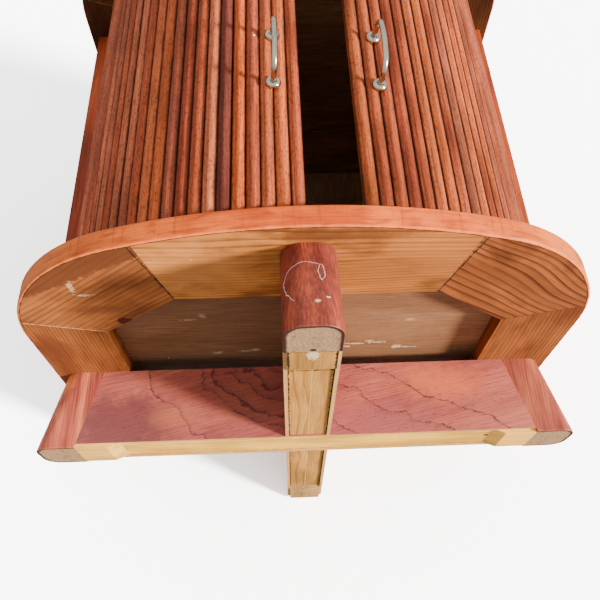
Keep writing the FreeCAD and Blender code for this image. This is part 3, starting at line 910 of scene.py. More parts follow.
@dataclass
class MeshPlan:
    """Points, faces and carried values of a mesh that is being put together."""

    points: list[Vector]
    faces: list[tuple[int, ...]]
    values: dict[str, list[float]]
    colours: dict[str, list[Colour]]

    @classmethod
    def empty(cls) -> "MeshPlan":
        """A plan with nothing in it."""
        return cls([], [], {}, {})

    def add_point(self, point: Vector, values: dict[str, float],
                  colours: Union[dict[str, Colour], None] = None) -> int:
        """Add a point with what it carries.

        Args:
            point: The point.
            values: Numbers by name.
            colours: Colours by name.

        Returns:
            The point's index.
        """
        self.points.append(point)
        for name, value in values.items():
            self.values.setdefault(name, []).append(value)
        for name, colour in (colours or {}).items():
            self.colours.setdefault(name, []).append(colour)
        return len(self.points) - 1

    def skin(self, rings: Sequence[Sequence[int]]) -> None:
        """Join neighbouring rings of points, all of one length, with quads."""
        for low, high in zip(rings, rings[1:]):
            for index in range(len(low)):
                after = (index + 1) % len(low)
                self.faces.append((low[index], low[after], high[after], high[index]))

    def tube(self, rings: Sequence[Sequence[int]]) -> None:
        """Join rings of points with quads and close both ends."""
        self.skin(rings)
        self.faces.append(tuple(reversed(rings[0])))
        self.faces.append(tuple(rings[-1]))

    def circle(self, middle: Vector, first: Vector, second: Vector, radius: float,
               count: int) -> list[int]:
        """Add a circle of points.

        Args:
            middle: Its middle.
            first: Direction to its first point.
            second: Direction to the point a quarter of the way round.
            radius: Its radius.
            count: How many points.

        Returns:
            The points' indices.
        """
        turns = (2 * math.pi * step / count for step in range(count))
        return [self.add_point(
            middle + (first * math.cos(turn) + second * math.sin(turn)) * radius, {})
            for turn in turns]

    def make(self, name: str, smooth_below: float = 40.0) -> bpy.types.Object:
        """Turn the plan into an object.

        Args:
            name: The piece's name.
            smooth_below: Faces that meet at a smaller angle than this are shaded as one.

        Returns:
            The new object.
        """
        mesh = bpy.data.meshes.new(name)
        mesh.from_pydata([tuple(point) for point in self.points], [], self.faces)
        for key, numbers in self.values.items():
            mesh.attributes.new(key, "FLOAT", "POINT").data.foreach_set("value", numbers)
        for key, shades in self.colours.items():
            flat = [part for shade in shades for part in (*shade, 1.0)]
            mesh.attributes.new(key, "FLOAT_COLOR", "POINT").data.foreach_set("color", flat)
        mesh.validate()
        thing = bpy.data.objects.new(name, mesh)
        bpy.context.scene.collection.objects.link(thing)
        self.settle(thing, smooth_below)
        return thing

    @staticmethod
    def settle(thing: bpy.types.Object, smooth_below: float) -> None:
        """Turn every face outwards and smooth the shading across shallow edges.

        Args:
            thing: The new object.
            smooth_below: The angle in degrees up to which edges are smooth.
        """
        bpy.ops.object.select_all(action="DESELECT")
        thing.select_set(True)
        bpy.context.view_layer.objects.active = thing
        bpy.ops.object.mode_set(mode="EDIT")
        bpy.ops.mesh.select_all(action="SELECT")
        bpy.ops.mesh.normals_make_consistent(inside=False)
        bpy.ops.object.mode_set(mode="OBJECT")
        bpy.ops.object.shade_smooth_by_angle(angle=math.radians(smooth_below))


def dress(thing: bpy.types.Object, material: bpy.types.Material) -> None:
    """Give every material slot of an object one finish."""
    if not thing.data.materials:
        thing.data.materials.append(material)
    for index in range(len(thing.data.materials)):
        thing.data.materials[index] = material


@dataclass(frozen=True)
class Piece:
    """How a new piece is tied to the frame."""

    name: str
    body: str
    node: str
    slot: str

    def settle(self, thing: bpy.types.Object, material: bpy.types.Material) -> None:
        """Dress a piece, tie it to its body and let it stand for its node.

        Args:
            thing: The piece.
            material: Its finish.
        """
        dress(thing, material)
        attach(thing, self.body)
        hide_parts(self.node)
        log.info("%s rides on %s for %s", self.name, self.body, self.node)


class Hand(Enum):
    """The two doors, with the sign of their turn about the upright axis."""

    LEFT = -1
    RIGHT = 1

    @property
    def word(self) -> str:
        """The door's name."""
        return self.name.lower()


class SlatTone(Enum):
    """Shades found among the slats."""

    AMBER = (0.375, 0.076, 0.020)
    HONEY = (0.400, 0.088, 0.028)
    CHESTNUT = (0.290, 0.054, 0.019)
    RUSSET = (0.230, 0.040, 0.016)
    PLUM = (0.125, 0.028, 0.017)
    MAUVE = (0.190, 0.042, 0.024)
    EMBER = (0.390, 0.066, 0.014)
    ROSE = (0.360, 0.088, 0.036)
    DUN = (0.290, 0.072, 0.032)


@dataclass
class TambourDoor:
    """One door: reeded slats on a canvas that turns about an upright axis."""

    hand: Hand
    axis: Vector
    rest_turn: float
    tones: tuple[SlatTone, ...]
    rng: random.Random
    # gain scales every slat's colour; the two doors use it for painted light and shade.
    gain: float = 1.0
    count: int = 29
    pitch: float = 3.6
    first: float = -10.4
    radius: float = 202 * MM
    thick: float = 9 * MM
    half_width: float = 6.12 * MM
    back_half: float = 5.97 * MM
    crown: float = 1.5 * MM
    low: float = 109.2 * MM
    high: float = 574.8 * MM
    steps: int = 26
    tongue: tuple[float, float] = (5 * MM, 3.7 * MM)

    def frame_at(self, angle: float) -> tuple[Vector, Vector]:
        """Directions out from the axis and along the track.

        Args:
            angle: Degrees round from the front.

        Returns:
            The outward and the onward direction.
        """
        turn = math.radians(angle)
        sign = self.hand.value
        return (Vector((sign * math.sin(turn), -math.cos(turn), 0.0)),
                Vector((sign * math.cos(turn), math.sin(turn), 0.0)))

    def section(self, half: float, corner: float) -> list[tuple[float, float]]:
        """A slat's section: crowned face, rounded arrises and a flat back.

        Args:
            half: Half the slat's width at its face.
            corner: Radius of the arrises.

        Returns:
            Places across and depths below the face, round the section.
        """
        inner = min(half, self.back_half)
        flat = half - corner
        shares = [index / 6 * 2 - 1 for index in range(7)]
        face = [(share * flat, self.crown * share * share) for share in shares]
        turns = [math.radians(90 * index / 4) for index in range(1, 5)]
        arc = [(flat + corner * math.sin(turn), self.crown + corner * (1 - math.cos(turn)))
               for turn in turns]
        left_arc = [(-across, depth) for across, depth in reversed(arc)]
        return [(-inner, self.thick)] + left_arc + face + arc + [(inner, self.thick)]

    def add_slat(self, plan: MeshPlan, index: int) -> None:
        """Add one slat with its tongues to a plan.

        Args:
            plan: The plan.
            index: The slat's number from the meeting edge.
        """
        rng = self.rng
        out, on = self.frame_at(self.first + self.rest_turn + index * self.pitch)
        half = self.half_width + rng.uniform(-0.1, 0.14) * MM
        corner = rng.uniform(2.2, 3.0) * MM
        drift = rng.uniform(-0.12, 0.12) * MM
        sink = rng.uniform(0.0, 0.45) * MM
        tilt = rng.uniform(-0.035, 0.035)
        tone = self.tones[index % len(self.tones)]
        second = rng.choice((tone, tone, SlatTone.CHESTNUT, SlatTone.MAUVE, SlatTone.HONEY))
        # The random factor is the slat's own tone; the door's gain adds painted light and shade.
        gain = rng.uniform(0.92, 1.08) * self.gain
        seed = rng.random()
        shades = {"slat_colour": tuple(part * gain for part in tone.value),
                  "slat_second": tuple(0.5 * (one + two) for one, two
                                       in zip(tone.value, second.value))}
        sway = [rng.uniform(-0.06, 0.06) * MM for _ in range(3)]
        section = self.section(half, corner)
        rings = []
        for step in range(self.steps + 1):
            share = step / self.steps
            z = self.low + (self.high - self.low) * share
            bow = sum(sway[wave] * math.sin(math.pi * (wave + 1) * share) for wave in range(3))
            ease = 0.8 * MM if step in (0, self.steps) else 0.0
            ring = []
            for across, depth in section:
                inside = max(0.0, 1.0 - depth / self.thick)
                sunk = sink + tilt * across * inside + ease * inside
                place = (self.axis + out * (self.radius - depth - sunk * inside)
                         + on * (across + drift + bow))
                ring.append(plan.add_point(Vector((place.x, place.y, z)), {
                    "slat_across": across / half if inside > 0.0 else 1.0,
                    "slat_seed": seed}, shades))
            rings.append(ring)
        plan.tube(rings)
        thick, length = self.tongue
        for end, way in ((self.low, -1), (self.high, 1)):
            base = []
            for z in (end - way * MM, end + way * length):
                ring = []
                for across, depth in ((-5.6, 0.0), (5.6, 0.0), (5.6, 1.0), (-5.6, 1.0)):
                    place = (self.axis + on * (across * MM)
                             + out * (self.radius - self.thick + thick * depth))
                    ring.append(plan.add_point(Vector((place.x, place.y, z)), {
                        "slat_across": 0.6, "slat_seed": seed}, shades))
                base.append(ring)
            plan.tube(base)

    def build(self, wood: bpy.types.Material) -> None:
        """Make the leading slat and the run behind it."""
        word = self.hand.word
        for name, node, first, last in (
                (f"{word}_lead_slat", f"{word}_door_lead_slat", 0, 1),
                (f"{word}_slat_run", f"{word}_door_slats", 1, self.count)):
            plan = MeshPlan.empty()
            for index in range(first, last):
                self.add_slat(plan, index)
            Piece(name, f"{word}_door", node, "slat_hardwood").settle(plan.make(name), wood)


@dataclass
class WirePull:
    """A bent wire grip that stands in two small domed cups on a door."""

    door: TambourDoor
    low: float
    spacing: float = 64.5 * MM
    wire: float = 2.65 * MM
    reach: float = 26.7 * MM
    bend: float = 15 * MM
    crown: float = 1.6 * MM
    foot: float = 0.2 * MM
    cup: float = 7.2 * MM
    cup_height: float = 4.2 * MM
    skirt: float = 0.8 * MM
    sides: int = 20
    cup_sides: int = 36

    def spine(self) -> list[tuple[float, float]]:
        """The wire's middle line.

        Returns:
            Heights above the slats' faces and heights above the low foot.
        """
        line = [(self.foot, 0.0), ((self.foot + self.reach - self.bend) / 2, 0.0)]
        for index in range(13):
            turn = math.radians(90 * index / 12)
            line.append((self.reach - self.bend + self.bend * math.sin(turn),
                         self.bend * (1 - math.cos(turn))))
        for index in range(1, 12):
            share = index / 12
            line.append((self.reach + self.crown * (1 - (2 * share - 1) ** 2),
                         self.bend + (self.spacing - 2 * self.bend) * share))
        upper = [(rise, self.spacing - height) for rise, height in reversed(line[:15])]
        return line + upper

    def build(self, metal: bpy.types.Material) -> None:
        """Make the wire and its two cups."""
        door = self.door
        angle = door.first + 1.5 * door.pitch + door.rest_turn
        out, on = door.frame_at(angle)
        up = Vector((0.0, 0.0, 1.0))
        base = door.axis.copy()
        base.z = 0.0
        base = base + out * door.radius + up * self.low
        line = [base + out * rise + up * height for rise, height in self.spine()]
        self.build_wire(line, on, metal)
        self.build_cups(base, out, on, up, metal)

    def build_wire(self, line: list[Vector], on: Vector, metal: bpy.types.Material) -> None:
        """Sweep the wire along its middle line.

        Args:
            line: The middle line's points.
            on: Along the track.
            metal: The finish.
        """
        plan = MeshPlan.empty()
        rings = []
        for index, point in enumerate(line):
            run = (line[min(index + 1, len(line) - 1)] - line[max(index - 1, 0)]).normalized()
            side = on.cross(run).normalized()
            rings.append(plan.circle(point, on, side, self.wire, self.sides))
        plan.tube(rings)
        word = self.door.hand.word
        name = f"{word}_pull_wire"
        Piece(name, f"{word}_door", f"{word}_pull_bow", "polished_nickel").settle(
            plan.make(name, 60.0), metal)

    def build_cups(self, base: Vector, out: Vector, on: Vector, up: Vector,
                   metal: bpy.types.Material) -> None:
        """Turn the two cups: a flat skirt, a domed shoulder and a dished mouth.

        Args:
            base: The low foot's middle on the slats' faces.
            out: Away from the door.
            on: Along the track.
            up: Upwards.
            metal: The finish.
        """
        plan = MeshPlan.empty()
        bore = self.wire + 0.1 * MM
        profile = [(bore, 0.0), (self.cup, 0.0), (self.cup, self.skirt)]
        for index in range(1, 7):
            turn = math.radians(90 * index / 6)
            profile.append((self.cup - 3.0 * MM * (1 - math.cos(turn)),
                            self.skirt + (self.cup_height - self.skirt) * math.sin(turn)))
        profile += [(3.7 * MM, self.cup_height - 0.25 * MM), (bore, self.cup_height - 0.7 * MM)]
        for height in (0.0, self.spacing):
            rings = [plan.circle(base + up * height + out * rise, on, up, radius, self.cup_sides)
                     for radius, rise in profile]
            plan.skin(rings + rings[:1])
        word = self.door.hand.word
        name = f"{word}_pull_cups"
        Piece(name, f"{word}_door", f"{word}_pull_rosettes", "polished_nickel").settle(
            plan.make(name, 35.0), metal)


@dataclass
class EdgeBand:
    """The bent lipping round a D-shaped panel."""

    name: str
    node: str
    low: float
    half: float = 283 * MM
    depth: float = 550 * MM
    front: float = 570 * MM
    corner: float = 160 * MM
    thick: float = 3 * MM
    tall: float = 21 * MM
    ease: float = 1.9 * MM

    def path(self) -> list[tuple[Vector, Vector]]:
        """The outline from the back left corner round the front.

        Returns:
            Points on the outside with the directions that face out there.
        """
        middle_x = self.half - self.corner
        run = self.front - self.corner
        middle_y = self.front - math.sqrt(run * run - middle_x * middle_x)
        slant = math.degrees(math.asin(middle_x / run))
        line: list[tuple[Vector, Vector]] = []

        def add_arc(x: float, y: float, radius: float, start: float, end: float,
                    count: int) -> None:
            """Follow an arc, its angles in degrees round from the front."""
            for step in range(count + 1):
                turn = math.radians(start + (end - start) * step / count)
                out = Vector((math.sin(turn), -math.cos(turn), 0.0))
                line.append((Vector((x, y, 0.0)) + out * radius, out))

        left = Vector((-1.0, 0.0, 0.0))
        for step in range(12):
            y = self.depth + (middle_y - self.depth) * step / 12
            line.append((Vector((-self.half, y, 0.0)), left))
        add_arc(-middle_x, middle_y, self.corner, -90.0, -slant, 30)
        add_arc(0.0, self.front, self.front, -slant, slant, 50)
        add_arc(middle_x, middle_y, self.corner, slant, 90.0, 30)
        for step in range(1, 13):
            y = middle_y + (self.depth - middle_y) * step / 12
            line.append((Vector((self.half, y, 0.0)), -left))
        return line

    def build(self, wood: bpy.types.Material) -> None:
        """Sweep the lipping's eased section round the outline."""
        section = [(self.thick, 0.0), (0.8 * self.thick, 0.0)]
        for low in (True, False):
            for index in range(6):
                turn = math.radians(90 * index / 5)
                inward, rise = (self.ease * (1 - way(turn)) for way in (
                    (math.sin, math.cos) if low else (math.cos, math.sin)))
                section.append((inward, rise if low else self.tall - rise))
            if low:
                section += [(0.0, self.tall * share) for share in (0.25, 0.4, 0.5, 0.6, 0.75)]
        section.append((self.thick, self.tall))
        plan = MeshPlan.empty()
        rings = []
        along = 0.0
        before = None
        for point, out in self.path():
            if before is not None and (point - before).length < 1e-6:
                continue
            along += (point - before).length if before is not None else 0.0
            before = point
            rings.append([plan.add_point(
                Vector((point.x - out.x * inward, point.y - out.y * inward - FRONT_TO_MIDDLE,
                        self.low + rise)),
                {"band_along": along, "band_up": rise / self.tall,
                 "band_in": inward / self.thick}) for inward, rise in section])
        plan.tube(rings)
        Piece(self.name, "cabinet", self.node, "band_hardwood").settle(plan.make(self.name), wood)


@dataclass
class BeamNose:
    """A solid rounded beam end that leans in as it rises from the floor."""

    name: str
    node: str
    width: float
    lean: float
    joint: Vector
    turn: float
    length: float = 45 * MM
    tall: float = 87 * MM
    corner: float = 18 * MM

    def outline(self, inset: float) -> list[Vector]:
        """The plan of the nose, tip towards its own -Y.

        Args:
            inset: How far in from the real outline.

        Returns:
            Points from the joint's left round the tip to its right.
        """
        half = self.width / 2 - inset
        radius = self.corner - inset
        start = half - radius
        tip = -(self.length - inset)
        line = [Vector((-half, 0.0, 0.0)), Vector((-half, tip / 3, 0.0)),
                Vector((-half, tip * 0.5, 0.0))]
        for index in range(9):
            turn = math.radians(90 * index / 8)
            line.append(Vector((-start - radius * math.cos(turn),
                                tip + radius - radius * math.sin(turn), 0.0)))
        return line + [Vector((-point.x, point.y, 0.0)) for point in reversed(line)]

    def build(self, wood: bpy.types.Material) -> None:
        """Make the nose: eased rim, stained edge and a slightly hollow sawn underside."""
        levels = [(0.0, 1.1), (0.25, 0.5), (0.9, 0.12), (1.8, 0.0), (20.0, 0.0), (40.0, 0.0),
                  (60.0, 0.0), (80.0, 0.0), (87.0, 0.0)]
        plan = MeshPlan.empty()
        spin = Matrix.Rotation(math.radians(self.turn), 3, "Z")

        def ring_at(height: float, inset: float, under: float, depth: float) -> list[int]:
            """Add a ring of points at a height, some way in from the outline."""
            ring = []
            for point in self.outline(inset * MM):
                moved = point + Vector((0.0, self.lean * height * MM / self.tall, height * MM))
                ring.append(plan.add_point(self.joint + spin @ moved,
                                           {"under": under, "inset": depth}))
            return ring

        hollow = ((0.3, 9.0), (0.28, 5.5), (0.25, 3.6), (0.15, 2.3), (0.0, 1.4))
        inner = [ring_at(height, inset, 1.0, inset - 1.0) for height, inset in hollow]
        sides = [ring_at(height, inset, 1.0 if height == 0.0 else 0.0, 0.0)
                 for height, inset in levels]
        rings = inner + sides
        plan.tube(rings)
        Piece(self.name, "cabinet", self.node, "nose_hardwood").settle(
            plan.make(self.name, 50.0), wood)


# ---- the cabinet's own finishes --------------------------------------------------------------

def cabinet_y(depth: float) -> float:
    """A place measured in metres back from the front of the panels."""
    return depth - FRONT_TO_MIDDLE


ALONG_Y: Triple = (0.0, 0.0, -90.0)
ALONG_Z: Triple = (0.0, 90.0, 0.0)
ALONG_LEFT_CORNER: Triple = (0.0, 0.0, 39.6)
ALONG_RIGHT_CORNER: Triple = (0.0, 0.0, -39.6)

LIME: Colour = (0.62, 0.48, 0.28)
PITCH: Colour = (0.03, 0.014, 0.008)

FRONT_LEFT_MITRE = ((-0.123, cabinet_y(0.110)), (-0.150, cabinet_y(0.018)))
FRONT_RIGHT_MITRE = ((0.123, cabinet_y(0.110)), (0.150, cabinet_y(0.018)))
LEFT_SIDE_MITRE = ((-0.200, cabinet_y(0.172)), (-0.283, cabinet_y(0.146)))
RIGHT_SIDE_MITRE = ((0.200, cabinet_y(0.172)), (0.283, cabinet_y(0.146)))


@dataclass
class CabinetWoods:
    """The finishes of the carcass, base and doors."""

    def segments(self, level: str, height: float) -> dict[str, Pine]:
        """The six frame segments of one panel.

        Args:
            level: "bottom" or "top".
            height: Height of the segments' underside.

        Returns:
            A finish for each segment's node.
        """
        gain = 1.0 if level == "bottom" else 0.28
        honey, tan, pale, amber, ember, brown, rust, umber, resin = (
            scaled(colour, gain) for colour in (
                (0.46, 0.150, 0.030), (0.34, 0.102, 0.026), (0.66, 0.25, 0.065),
                (0.27, 0.074, 0.019), (0.245, 0.070, 0.017), (0.100, 0.028, 0.010),
                (0.120, 0.026, 0.008), (0.066, 0.015, 0.005), (0.60, 0.34, 0.14)))

        def spot(x: float, y: float, long: float, wide: float, colour: Colour, strength: float,
                 soft: float, crumble: float = 0.0) -> Blot:
            """A stain, or a patch of painted light or shade, on the segments' underside."""
            return Blot((x, cabinet_y(y), height), (long, wide, 0.02), colour, strength, soft,
                        crumble)

        left_joint = Seam(*FRONT_LEFT_MITRE, PITCH, 0.0009)
        right_joint = Seam(*FRONT_RIGHT_MITRE, PITCH, 0.0009)
        left_glue = Seam(*LEFT_SIDE_MITRE, resin, 0.0006)
        right_glue = Seam(*RIGHT_SIDE_MITRE, rust, 0.0009)
        # The pale spot on the left of the front segment is painted light and the tan spot on its
        # right is painted shade, evening out the key light; the other marks are stains and joints.
        front_marks = (spot(-0.10, 0.06, 0.10, 0.06, pale, 0.5, 0.9),
                       spot(0.11, 0.05, 0.10, 0.06, tan, 0.5, 0.9), left_joint, right_joint,
                       spot(0.035, 0.012, 0.09, 0.012, brown, 0.55, 0.6))
        corner_left = (
            Wedge((-0.136, cabinet_y(0.036)), (-0.285, cabinet_y(0.118)), brown, 0.8),
            spot(-0.165, 0.075, 0.03, 0.02, brown, 0.4, 0.7),
            spot(-0.20, 0.125, 0.05, 0.012, brown, 0.45, 0.8),
            spot(-0.176, 0.150, 0.009, 0.008, (0.07, 0.010, 0.006), 0.95, 0.25),
            spot(-0.211, 0.083, 0.0026, 0.010, LIME, 0.7, 0.3, 4.0),
            spot(-0.204, 0.098, 0.010, 0.002, LIME, 0.6, 0.3, 4.0), left_joint, left_glue)
        corner_right = (right_joint, right_glue)
        side_left = (spot(-0.262, 0.22, 0.02, 0.08, rust, 0.7, 0.7), left_glue)
        side_right = (right_glue,)
        low, middle, high = height + 0.03, height + 0.04, height + 0.05
        table = (
            ("front", honey, umber, Lay((0.0, cabinet_y(-0.01), high)),
             0.0040, 0.016, 0.72, 0.6, front_marks),
            ("front_left", tan, brown, Lay((-0.26, cabinet_y(0.02), low), ALONG_LEFT_CORNER),
             0.006, 0.016, 0.7, 0.6, corner_left),
            ("front_right", amber, umber, Lay((0.17, cabinet_y(0.17), low), ALONG_RIGHT_CORNER),
             0.0062, 0.05, 1.0, 0.6, corner_right),
            ("left", ember, rust, Lay((-0.12, 0.0, low), ALONG_Y),
             0.0036, 0.014, 1.0, 0.6, side_left),
            ("right", ember, rust, Lay((0.13, 0.0, middle), ALONG_Y),
             0.0042, 0.014, 0.95, 0.6, side_right),
            ("back", (0.50, 0.30, 0.15), (0.3, 0.15, 0.07), Lay((0.0, cabinet_y(0.62), high)),
             0.005, 0.02, 0.8, 0.15, ()))
        return {f"{level}_frame_{side}": Pine(f"{level}_{side}_pine", *rest)
                for side, *rest in table}

    def boards(self) -> dict[str, Dressing]:
        """The carcass boards.

        Returns:
            A finish for each board's node.
        """
        under = 0.103
        glue = tuple(
            Blot((x, cabinet_y(y), under), (1.3 * long, 1.3 * wide, 0.0035), LIME, strength, 0.3,
                 4.0) for x, y, long, wide, strength in (
                (0.046, 0.258, 0.006, 0.0016, 0.7), (0.058, 0.251, 0.009, 0.0014, 0.7),
                (0.074, 0.246, 0.004, 0.0022, 0.8), (0.083, 0.249, 0.007, 0.0014, 0.7),
                (0.106, 0.262, 0.004, 0.0030, 0.6), (0.118, 0.264, 0.008, 0.0012, 0.6),
                (-0.055, 0.259, 0.004, 0.0030, 0.5), (-0.066, 0.262, 0.006, 0.0014, 0.5),
                (-0.098, 0.264, 0.004, 0.0026, 0.4), (-0.106, 0.174, 0.003, 0.0040, 0.3),
                (-0.120, 0.182, 0.006, 0.0012, 0.3), (0.112, 0.196, 0.004, 0.0022, 0.35)))
        glue += (Blot((-0.15, cabinet_y(0.285), under), (0.12, 0.012, 0.0035),
                      (0.05, 0.03, 0.012), 0.5, 0.7),
                 Blot((0.10, cabinet_y(0.225), under), (0.09, 0.035, 0.0035),
                      (0.26, 0.13, 0.06), 0.6, 0.8))
        side = dict(base=(0.30, 0.042, 0.011), dark=(0.16, 0.024, 0.008),
                    light=(0.48, 0.075, 0.014), vein=(0.05, 0.012, 0.007), coat=0.05)
        ply = dict(base=(0.205, 0.092, 0.042), dark=(0.155, 0.066, 0.029),
                   light=(0.26, 0.122, 0.06), vein=(0.07, 0.026, 0.013), coat=0.0)
        heart = tuple(Contour((0.05, 0.32, 0.597), (0.055, 0.2, 0.055), size, 0.0014, x_side, 0.4)
                      for size in (0.7, 1.3, 2.0, 2.9, 3.8) for x_side in (False, True))
        return {
            "bottom_board": Veneer("bottom_ply", lay=Lay((0.0, 0.0, 0.05)), marks=glue,
                                   dust=0.3, **ply),
            "top_board": Veneer("top_veneer", (0.34, 0.062, 0.017), (0.2, 0.034, 0.011),
                                (0.44, 0.092, 0.024), (0.07, 0.016, 0.008), Lay((0.0, 0.0, 0.5)),
                                heart, 0.5, coat=0.3, coat_roughness=0.22),
            "top_lining": Veneer("lining_ply", (0.50, 0.20, 0.09), (0.36, 0.14, 0.06),
                                 (0.6, 0.26, 0.12), (0.14, 0.05, 0.024), Lay((0.0, 0.0, 0.5)),
                                 coat=0.0),
            "side_panel_left": Veneer("left_side_veneer", lay=Lay((0.0, 0.0, 0.0), ALONG_Z),
                                      **side),
            "side_panel_right": Veneer("right_side_veneer", lay=Lay((0.3, 0.0, 0.0), ALONG_Z),
                                       **side),
            "back_panel": Veneer("back_ply", (0.62, 0.33, 0.16), (0.48, 0.25, 0.115),
                                 (0.72, 0.42, 0.21), (0.2, 0.09, 0.045),
                                 Lay((0.0, 0.0, 0.0), ALONG_Z), coat=0.05),
            "threshold_rail": Veneer("threshold_wood", (0.30, 0.16, 0.08), (0.2, 0.1, 0.05),
                                     (0.36, 0.2, 0.1), (0.09, 0.04, 0.02), Lay((0.0, 0.0, 0.1)),
                                     coat=0.05)}

    def base_woods(self) -> dict[str, Dressing]:
        """The base's cores, pads and skins.

        Returns:
            A finish for each node.
        """
        cream, straw = (0.86, 0.44, 0.060), (0.46, 0.17, 0.028)
        butter, ochre = (0.44, 0.20, 0.043), (0.25, 0.09, 0.02)
        figured = dict(base=(0.42, 0.100, 0.066), dark=(0.30, 0.062, 0.050),
                       light=(0.52, 0.140, 0.082), vein=(0.045, 0.012, 0.018),
                       edge=(0.66, 0.34, 0.10), coat=0.4, coat_roughness=0.28, dust=0.4)
        straight = dict(figured, base=(0.30, 0.075, 0.036), dark=(0.2, 0.045, 0.025), coat=0.2)
        edges = tuple(Seam((-0.26, y), (0.26, y), (0.12, 0.04, 0.02), 0.0011)
                      for y in (0.0133, 0.0619))
        gaps = tuple(Seam((x, -0.25), (x, 0.25), PITCH, 0.0014) for x in (-0.0203, 0.0203))
        gaps += (Seam((-0.02, cabinet_y(0.098)), (0.02, cabinet_y(0.098)), PITCH, 0.0012),
                 Seam((0.001, -0.25), (0.0, 0.25), (0.54, 0.29, 0.085), 0.0006))
        heart = (-0.01, cabinet_y(0.275), 0.10)
        loops = tuple(Contour(heart, (0.10, 1.0, 0.075), size, width, False, smoke)
                      for size, width, smoke in ((0.36, 0.0006, 0.4), (0.58, 0.0008, 0.4),
                                                 (0.72, 0.0006, 0.35), (0.92, 0.0010, 0.3),
                                                 (1.08, 0.0006, 0.3), (1.62, 0.0007, 0.3)))
        far = (-0.29, cabinet_y(0.275), -0.854)
        runs = tuple(Contour(far, (1.0, 1.0, 1.0), size, width, True, smoke)
                     for size, width, smoke in ((1.0, 0.0010, 0.12), (0.968, 0.0007, 0.25),
                                                (0.928, 0.0007, 0.3)))
        face = cabinet_y(0.272)
        clouds = (
            # Painted shadow: this dark patch low on the face's left continues the long beam's
            # shadow.
            Blot((-0.205, face, 0.022), (0.085, 0.02, 0.050), (0.14, 0.034, 0.034), 0.85, 0.6),
            Blot((-0.065, face, 0.055), (0.075, 0.02, 0.045), (0.20, 0.050, 0.026), 0.5, 0.7),
            Blot((-0.145, face, 0.03), (0.04, 0.02, 0.022), (0.46, 0.12, 0.055), 0.5, 0.8),
            Blot((0.155, face, 0.062), (0.07, 0.02, 0.03), (0.66, 0.130, 0.045), 0.7, 0.8),
            Blot((0.07, face, 0.02), (0.085, 0.02, 0.035), (0.33, 0.080, 0.075), 0.6, 0.8))
        woods: dict[str, Dressing] = {
            "base_core_front_back": Pine(
                "long_core_pine", butter, ochre, Lay((0.03, 0.0, -0.12), ALONG_Y), 0.0024, 0.012,
                0.85, marks=gaps),
            "base_core_left_right": Pine(
                "cross_core_pine", cream, straw, Lay((0.0, cabinet_y(0.25), -0.05)), 0.0034,
                0.012, 0.8, marks=edges + (Blot((0.206, cabinet_y(0.297), 0.006),
                                                (0.008, 0.005, 0.01), (0.07, 0.03, 0.014), 0.95,
                                                0.4),)),
            "base_pad_front": Pine(
                "front_pad_pine", (0.46, 0.21, 0.045), (0.25, 0.09, 0.02),
                Lay((0.02, 0.0, -0.1), ALONG_Y), 0.0026, 0.008, 0.6,
                marks=(Blot((0.0, cabinet_y(0.054), 0.0), (0.005, 0.009, 0.01), LIME, 0.9, 0.3,
                            3.0),
                       Seam((-0.02, cabinet_y(0.0955)), (0.02, cabinet_y(0.0955)), PITCH, 0.0012),
                       Seam((-0.0196, -0.25), (-0.0196, 0.25), PITCH, 0.0012),
                       Seam((0.0196, -0.25), (0.0196, 0.25), PITCH, 0.0014))),
            "base_skin_front": Veneer(
                "front_figured_veneer", lay=Lay((0.02, 0.0, 0.0), (0.0, 12.0, 0.0)),
                veins=loops + runs, marks=clouds, face=(0.0, -1.0, 0.0), **figured),
            "base_skin_back": Veneer(
                "back_figured_veneer", lay=Lay((0.3, 0.1, 0.0), (0.0, -8.0, 0.0)),
                veins=loops + runs, face=(0.0, 1.0, 0.0), **figured)}
        for name, early, late, lay, gap in (
                ("back", (0.36, 0.19, 0.07), (0.2, 0.09, 0.03), Lay((0.02, 0.0, -0.1), ALONG_Y),
                 0.003),
                ("left", (0.8, 0.42, 0.085), (0.46, 0.19, 0.04),
                 Lay((0.0, cabinet_y(0.27), -0.06)), 0.0032),
                ("right", (0.8, 0.41, 0.08), (0.46, 0.19, 0.04),
                 Lay((0.0, cabinet_y(0.33), -0.06)), 0.0032)):
            woods[f"base_pad_{name}"] = Pine(f"{name}_pad_pine", early, late, lay, gap, 0.008, 0.6)
        for name, shift in (("left_front", 0.0), ("left_rear", 0.4), ("right_front", 0.8),
                            ("right_rear", 1.2)):
            woods[f"base_skin_{name}"] = Veneer(
                f"{name}_straight_veneer", lay=Lay((0.0, shift, 0.0), ALONG_Y),
                face=(-1.0 if "left" in name else 1.0, 0.0, 0.0), **straight)
        return woods


# ---- stage -----------------------------------------------------------------------------------

